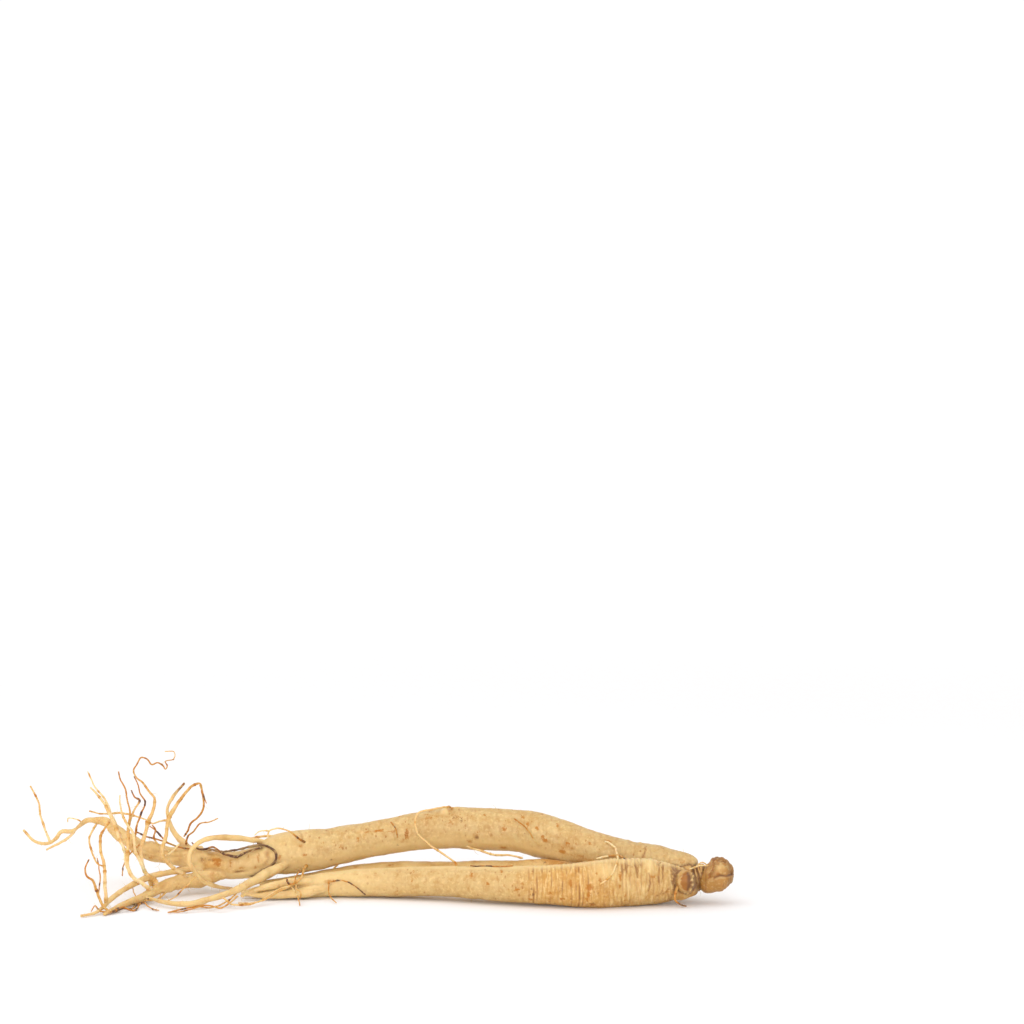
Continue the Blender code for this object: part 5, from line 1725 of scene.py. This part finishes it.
class GinsengSkinSettings(bpy.types.PropertyGroup):
    """Colours and finish of the skin."""

    cream: colour_setting("Cream", (0.58, 0.405, 0.175), "Plain skin of the legs")
    warm: colour_setting("Warm Cream", (0.5, 0.29, 0.09), "Warmer blotches in the plain skin")
    gold: colour_setting("Gold", (0.62, 0.375, 0.12), "Skin of the tail and branches")
    amber: colour_setting("Amber", (0.5, 0.24, 0.045), "Warmer blotches in the golden skin")
    # Speck also darkens the hollows and grooves of the relief, partly as painted shade.
    speck: colour_setting("Speck", (0.4, 0.18, 0.045), "Specks and cross dashes")
    young: colour_setting("Young", (0.88, 0.71, 0.42), "Thin young rootlets")
    # Pale also lays painted light on the legs and painted highlights on the lower leg's swelling and the
    # bud's cut face.
    pale: colour_setting("Pale", (0.76, 0.55, 0.25), "Peeled and swollen spots")
    crease: colour_setting("Crease", (0.25, 0.1, 0.025), "Bottom of creases and ring grooves")
    # Crease also lays painted shade in the grooves, with their own brown.
    stain: colour_setting("Stain", (0.43, 0.155, 0.01), "Orange-brown scars")
    # Soil also lays painted shade along the seams, between the legs and in the gap under the knob.
    soil: colour_setting("Soil", (0.2, 0.08, 0.025), "Soil left in hollows")
    # Bark also lays painted shade along the seams and in the gap under the knob.
    bark: colour_setting("Bark", (0.1, 0.042, 0.022), "Old dark rootlets")
    speck_amount: share_setting("Specks", 0.95, "How plain the specks are")
    dash_amount: share_setting("Cross Dashes", 0.8, "How plain the short dashes across the legs are")
    roughness: share_setting("Roughness", 0.52, "How matt the skin is")
    translucency: share_setting("Translucency", 0.35, "How far light spreads under the skin")


class GinsengReliefSettings(bpy.types.PropertyGroup):
    """Sizes of the relief on the legs."""

    fine_pitch: distance_setting("Fine Ring Pitch", 0.00115, "Distance between the fine growth rings")
    coarse_pitch: distance_setting("Coarse Ring Pitch", 0.00145, "Distance between the coarse rings")
    fine_depth: distance_setting("Fine Ring Depth", 0.00013, "Height of the fine rings")
    coarse_depth: distance_setting("Coarse Ring Depth", 0.00024, "Height of the coarse rings")
    wrinkle_depth: distance_setting("Wrinkle Depth", 0.00006, "Depth of the cross wrinkles")
    lump_height: distance_setting("Lump Height", 0.00028, "Height of the slow swellings")


class GinsengRootletSettings(bpy.types.PropertyGroup):
    """Build of the rootlets and root hairs."""

    sides: bpy.props.IntProperty(
        name="Sides", default=8, min=3, max=16, description="Faces round a rootlet"
    )
    point_skip: bpy.props.IntProperty(
        name="Point Skip", default=7, min=1, max=40, description="Keeps one route sample in this many"
    )
    knot_size: share_setting("Knot Size", 0.4, "How far the joints swell")
    wander: distance_setting("Wander", 0.0006, "How far the rootlets stray from their routes")
    hair_density: bpy.props.FloatProperty(
        name="Hairs per Square Metre", default=120000, min=0, description="Root hairs on the fuzziest skin"
    )
    hair_length: distance_setting("Hair Length", 0.0017, "Length of a root hair")
    hair_thickness: distance_setting("Hair Thickness", 0.0001, "Diameter of a root hair")
    seed: bpy.props.IntProperty(name="Seed", default=3, description="Changes where the hairs stand")


class GinsengStageSettings(bpy.types.PropertyGroup):
    """Floor, lights and camera."""

    surround: bpy.props.FloatProperty(
        name="Surround", default=1.05, min=0, description="Strength of the white surround"
    )
    key_power: bpy.props.FloatProperty(
        name="Key Light", default=1.6, min=0, unit="POWER", description="Power of the large light behind"
    )
    fill_power: bpy.props.FloatProperty(
        name="Fill Light", default=6.5, min=0, unit="POWER", description="Power of the light by the camera"
    )
    floor_size: bpy.props.FloatProperty(
        name="Floor Size", default=2.4, min=1, unit="LENGTH", description="Side of the square floor"
    )
    floor_colour: bpy.props.FloatVectorProperty(
        name="Floor", subtype="COLOR", size=3, min=0, max=1, default=(0.87, 0.855, 0.855),
        description="Colour of the paper floor",
    )
    camera_place: bpy.props.FloatVectorProperty(
        name="Camera", subtype="TRANSLATION", unit="LENGTH", size=3, default=(0.0408, -0.9586, 0.1731),
        description="Where the camera stands",
    )
    camera_tilt: bpy.props.FloatProperty(
        name="Camera Tilt", default=math.radians(3.8), unit="ROTATION", description="How far it looks down"
    )
    lens: bpy.props.FloatProperty(
        name="Lens", default=119.3, min=10, description="Focal length in millimetres on a 36 mm sensor"
    )


class GINSENG_OT_body(bpy.types.Operator):
    """Grow the legs, crown, bud, tail and thick side roots as one skin"""

    bl_idname = "ginseng.body"
    bl_label = "Root Body"

    def execute(self, context):
        mesh = build_body(context.scene.ginseng_relief)
        body = show("root_body", mesh, skin_of("cream_skin"))
        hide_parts(NODE)
        return {"FINISHED"}


class GINSENG_OT_rootlets(bpy.types.Operator):
    """Grow the thin rootlets and the threads that lie on the legs"""

    bl_idname = "ginseng.rootlets"
    bl_label = "Rootlets"

    def execute(self, context):
        mesh = build_rootlets(context.scene.ginseng_rootlets)
        keep_in_box(mesh)
        show("rootlets", mesh, skin_of("rootlet_skin"))
        return {"FINISHED"}


class GINSENG_OT_hairs(bpy.types.Operator):
    """Scatter short root hairs over the body and the rootlets"""

    bl_idname = "ginseng.hairs"
    bl_label = "Root Hairs"

    def execute(self, context):
        settings = context.scene.ginseng_rootlets
        objects = context.scene.objects
        if "root_body" not in objects or "rootlets" not in objects:
            raise RuntimeError("The hairs need the root body and the rootlets first")
        seed = bpy.data.meshes.new("hair_seed")
        mesh = grow_nodes("hair_seed", seed, hair_tree(skin_of("rootlet_skin")), {
            "Body": objects["root_body"], "Rootlets": objects["rootlets"],
            "Hairs per Square Metre": settings.hair_density, "Length": settings.hair_length,
            "Thickness": settings.hair_thickness, "Seed": settings.seed,
        })
        keep_in_box(mesh)
        show("root_hairs", mesh, skin_of("rootlet_skin"))
        return {"FINISHED"}


class GINSENG_OT_stage(bpy.types.Operator):
    """Set the white floor, the soft lights and the camera"""

    bl_idname = "ginseng.stage"
    bl_label = "Studio"

    def execute(self, context):
        settings = context.scene.ginseng_stage
        half = settings.floor_size / 2
        mesh = bpy.data.meshes.new("studio_floor")
        mesh.from_pydata(
            [(-half, -half, 0), (half, -half, 0), (half, half, 0), (-half, half, 0)], [], [(0, 1, 2, 3)]
        )
        mesh.materials.append(floor_material(settings.floor_colour))
        floor = bpy.data.objects.new("studio_floor", mesh)
        floor.location.z = CAD_LOW.z
        context.scene.collection.objects.link(floor)
        sky_white(settings)
        add_area_light("key", (-0.3, -0.2, 0.85), (0, 0, 0), 0.9, settings.key_power)
        add_area_light("fill", (-0.1, -1.25, 0.3), (0, 0, 0.01), 0.6, settings.fill_power)
        camera = bpy.data.objects.new("camera", bpy.data.cameras.new("camera"))
        camera.data.sensor_width = 36
        camera.data.lens = settings.lens
        camera.data.clip_start = 0.01
        camera.location = settings.camera_place
        camera.rotation_euler = (math.pi / 2 - settings.camera_tilt, 0, 0)
        context.scene.collection.objects.link(camera)
        context.scene.camera = camera
        context.scene.view_settings.view_transform = "Standard"
        return {"FINISHED"}


class GINSENG_PT_panel(bpy.types.Panel):
    """The root's operators and settings in the 3D view's sidebar"""

    bl_idname = "GINSENG_PT_panel"
    bl_label = "Ginseng Root"
    bl_space_type = "VIEW_3D"
    bl_region_type = "UI"
    bl_category = "Ginseng Root"

    def draw(self, context):
        for operator in OPERATORS:
            self.layout.operator(operator.bl_idname)
        for name, kind in SETTINGS.items():
            box = self.layout.box()
            for field in kind.__annotations__:
                box.prop(getattr(context.scene, name), field)


SETTINGS = {
    "ginseng_skin": GinsengSkinSettings,
    "ginseng_relief": GinsengReliefSettings,
    "ginseng_rootlets": GinsengRootletSettings,
    "ginseng_stage": GinsengStageSettings,
}
OPERATORS = (GINSENG_OT_stage, GINSENG_OT_body, GINSENG_OT_rootlets, GINSENG_OT_hairs)


def register():
    """Register the settings, the operators and the panel."""
    for name, kind in SETTINGS.items():
        bpy.utils.register_class(kind)
        setattr(bpy.types.Scene, name, bpy.props.PointerProperty(type=kind))
    for kind in (*OPERATORS, GINSENG_PT_panel):
        bpy.utils.register_class(kind)


def unregister():
    """Take the panel, the operators and the settings out again."""
    for kind in (GINSENG_PT_panel, *reversed(OPERATORS)):
        bpy.utils.unregister_class(kind)
    for name, kind in reversed(SETTINGS.items()):
        delattr(bpy.types.Scene, name)
        bpy.utils.unregister_class(kind)


def main():
    """Build the stage and the root's pieces."""
    register()
    bpy.ops.ginseng.stage()
    bpy.ops.ginseng.body()
    bpy.ops.ginseng.rootlets()
    bpy.ops.ginseng.hairs()


if __name__ == "__main__":
    main()
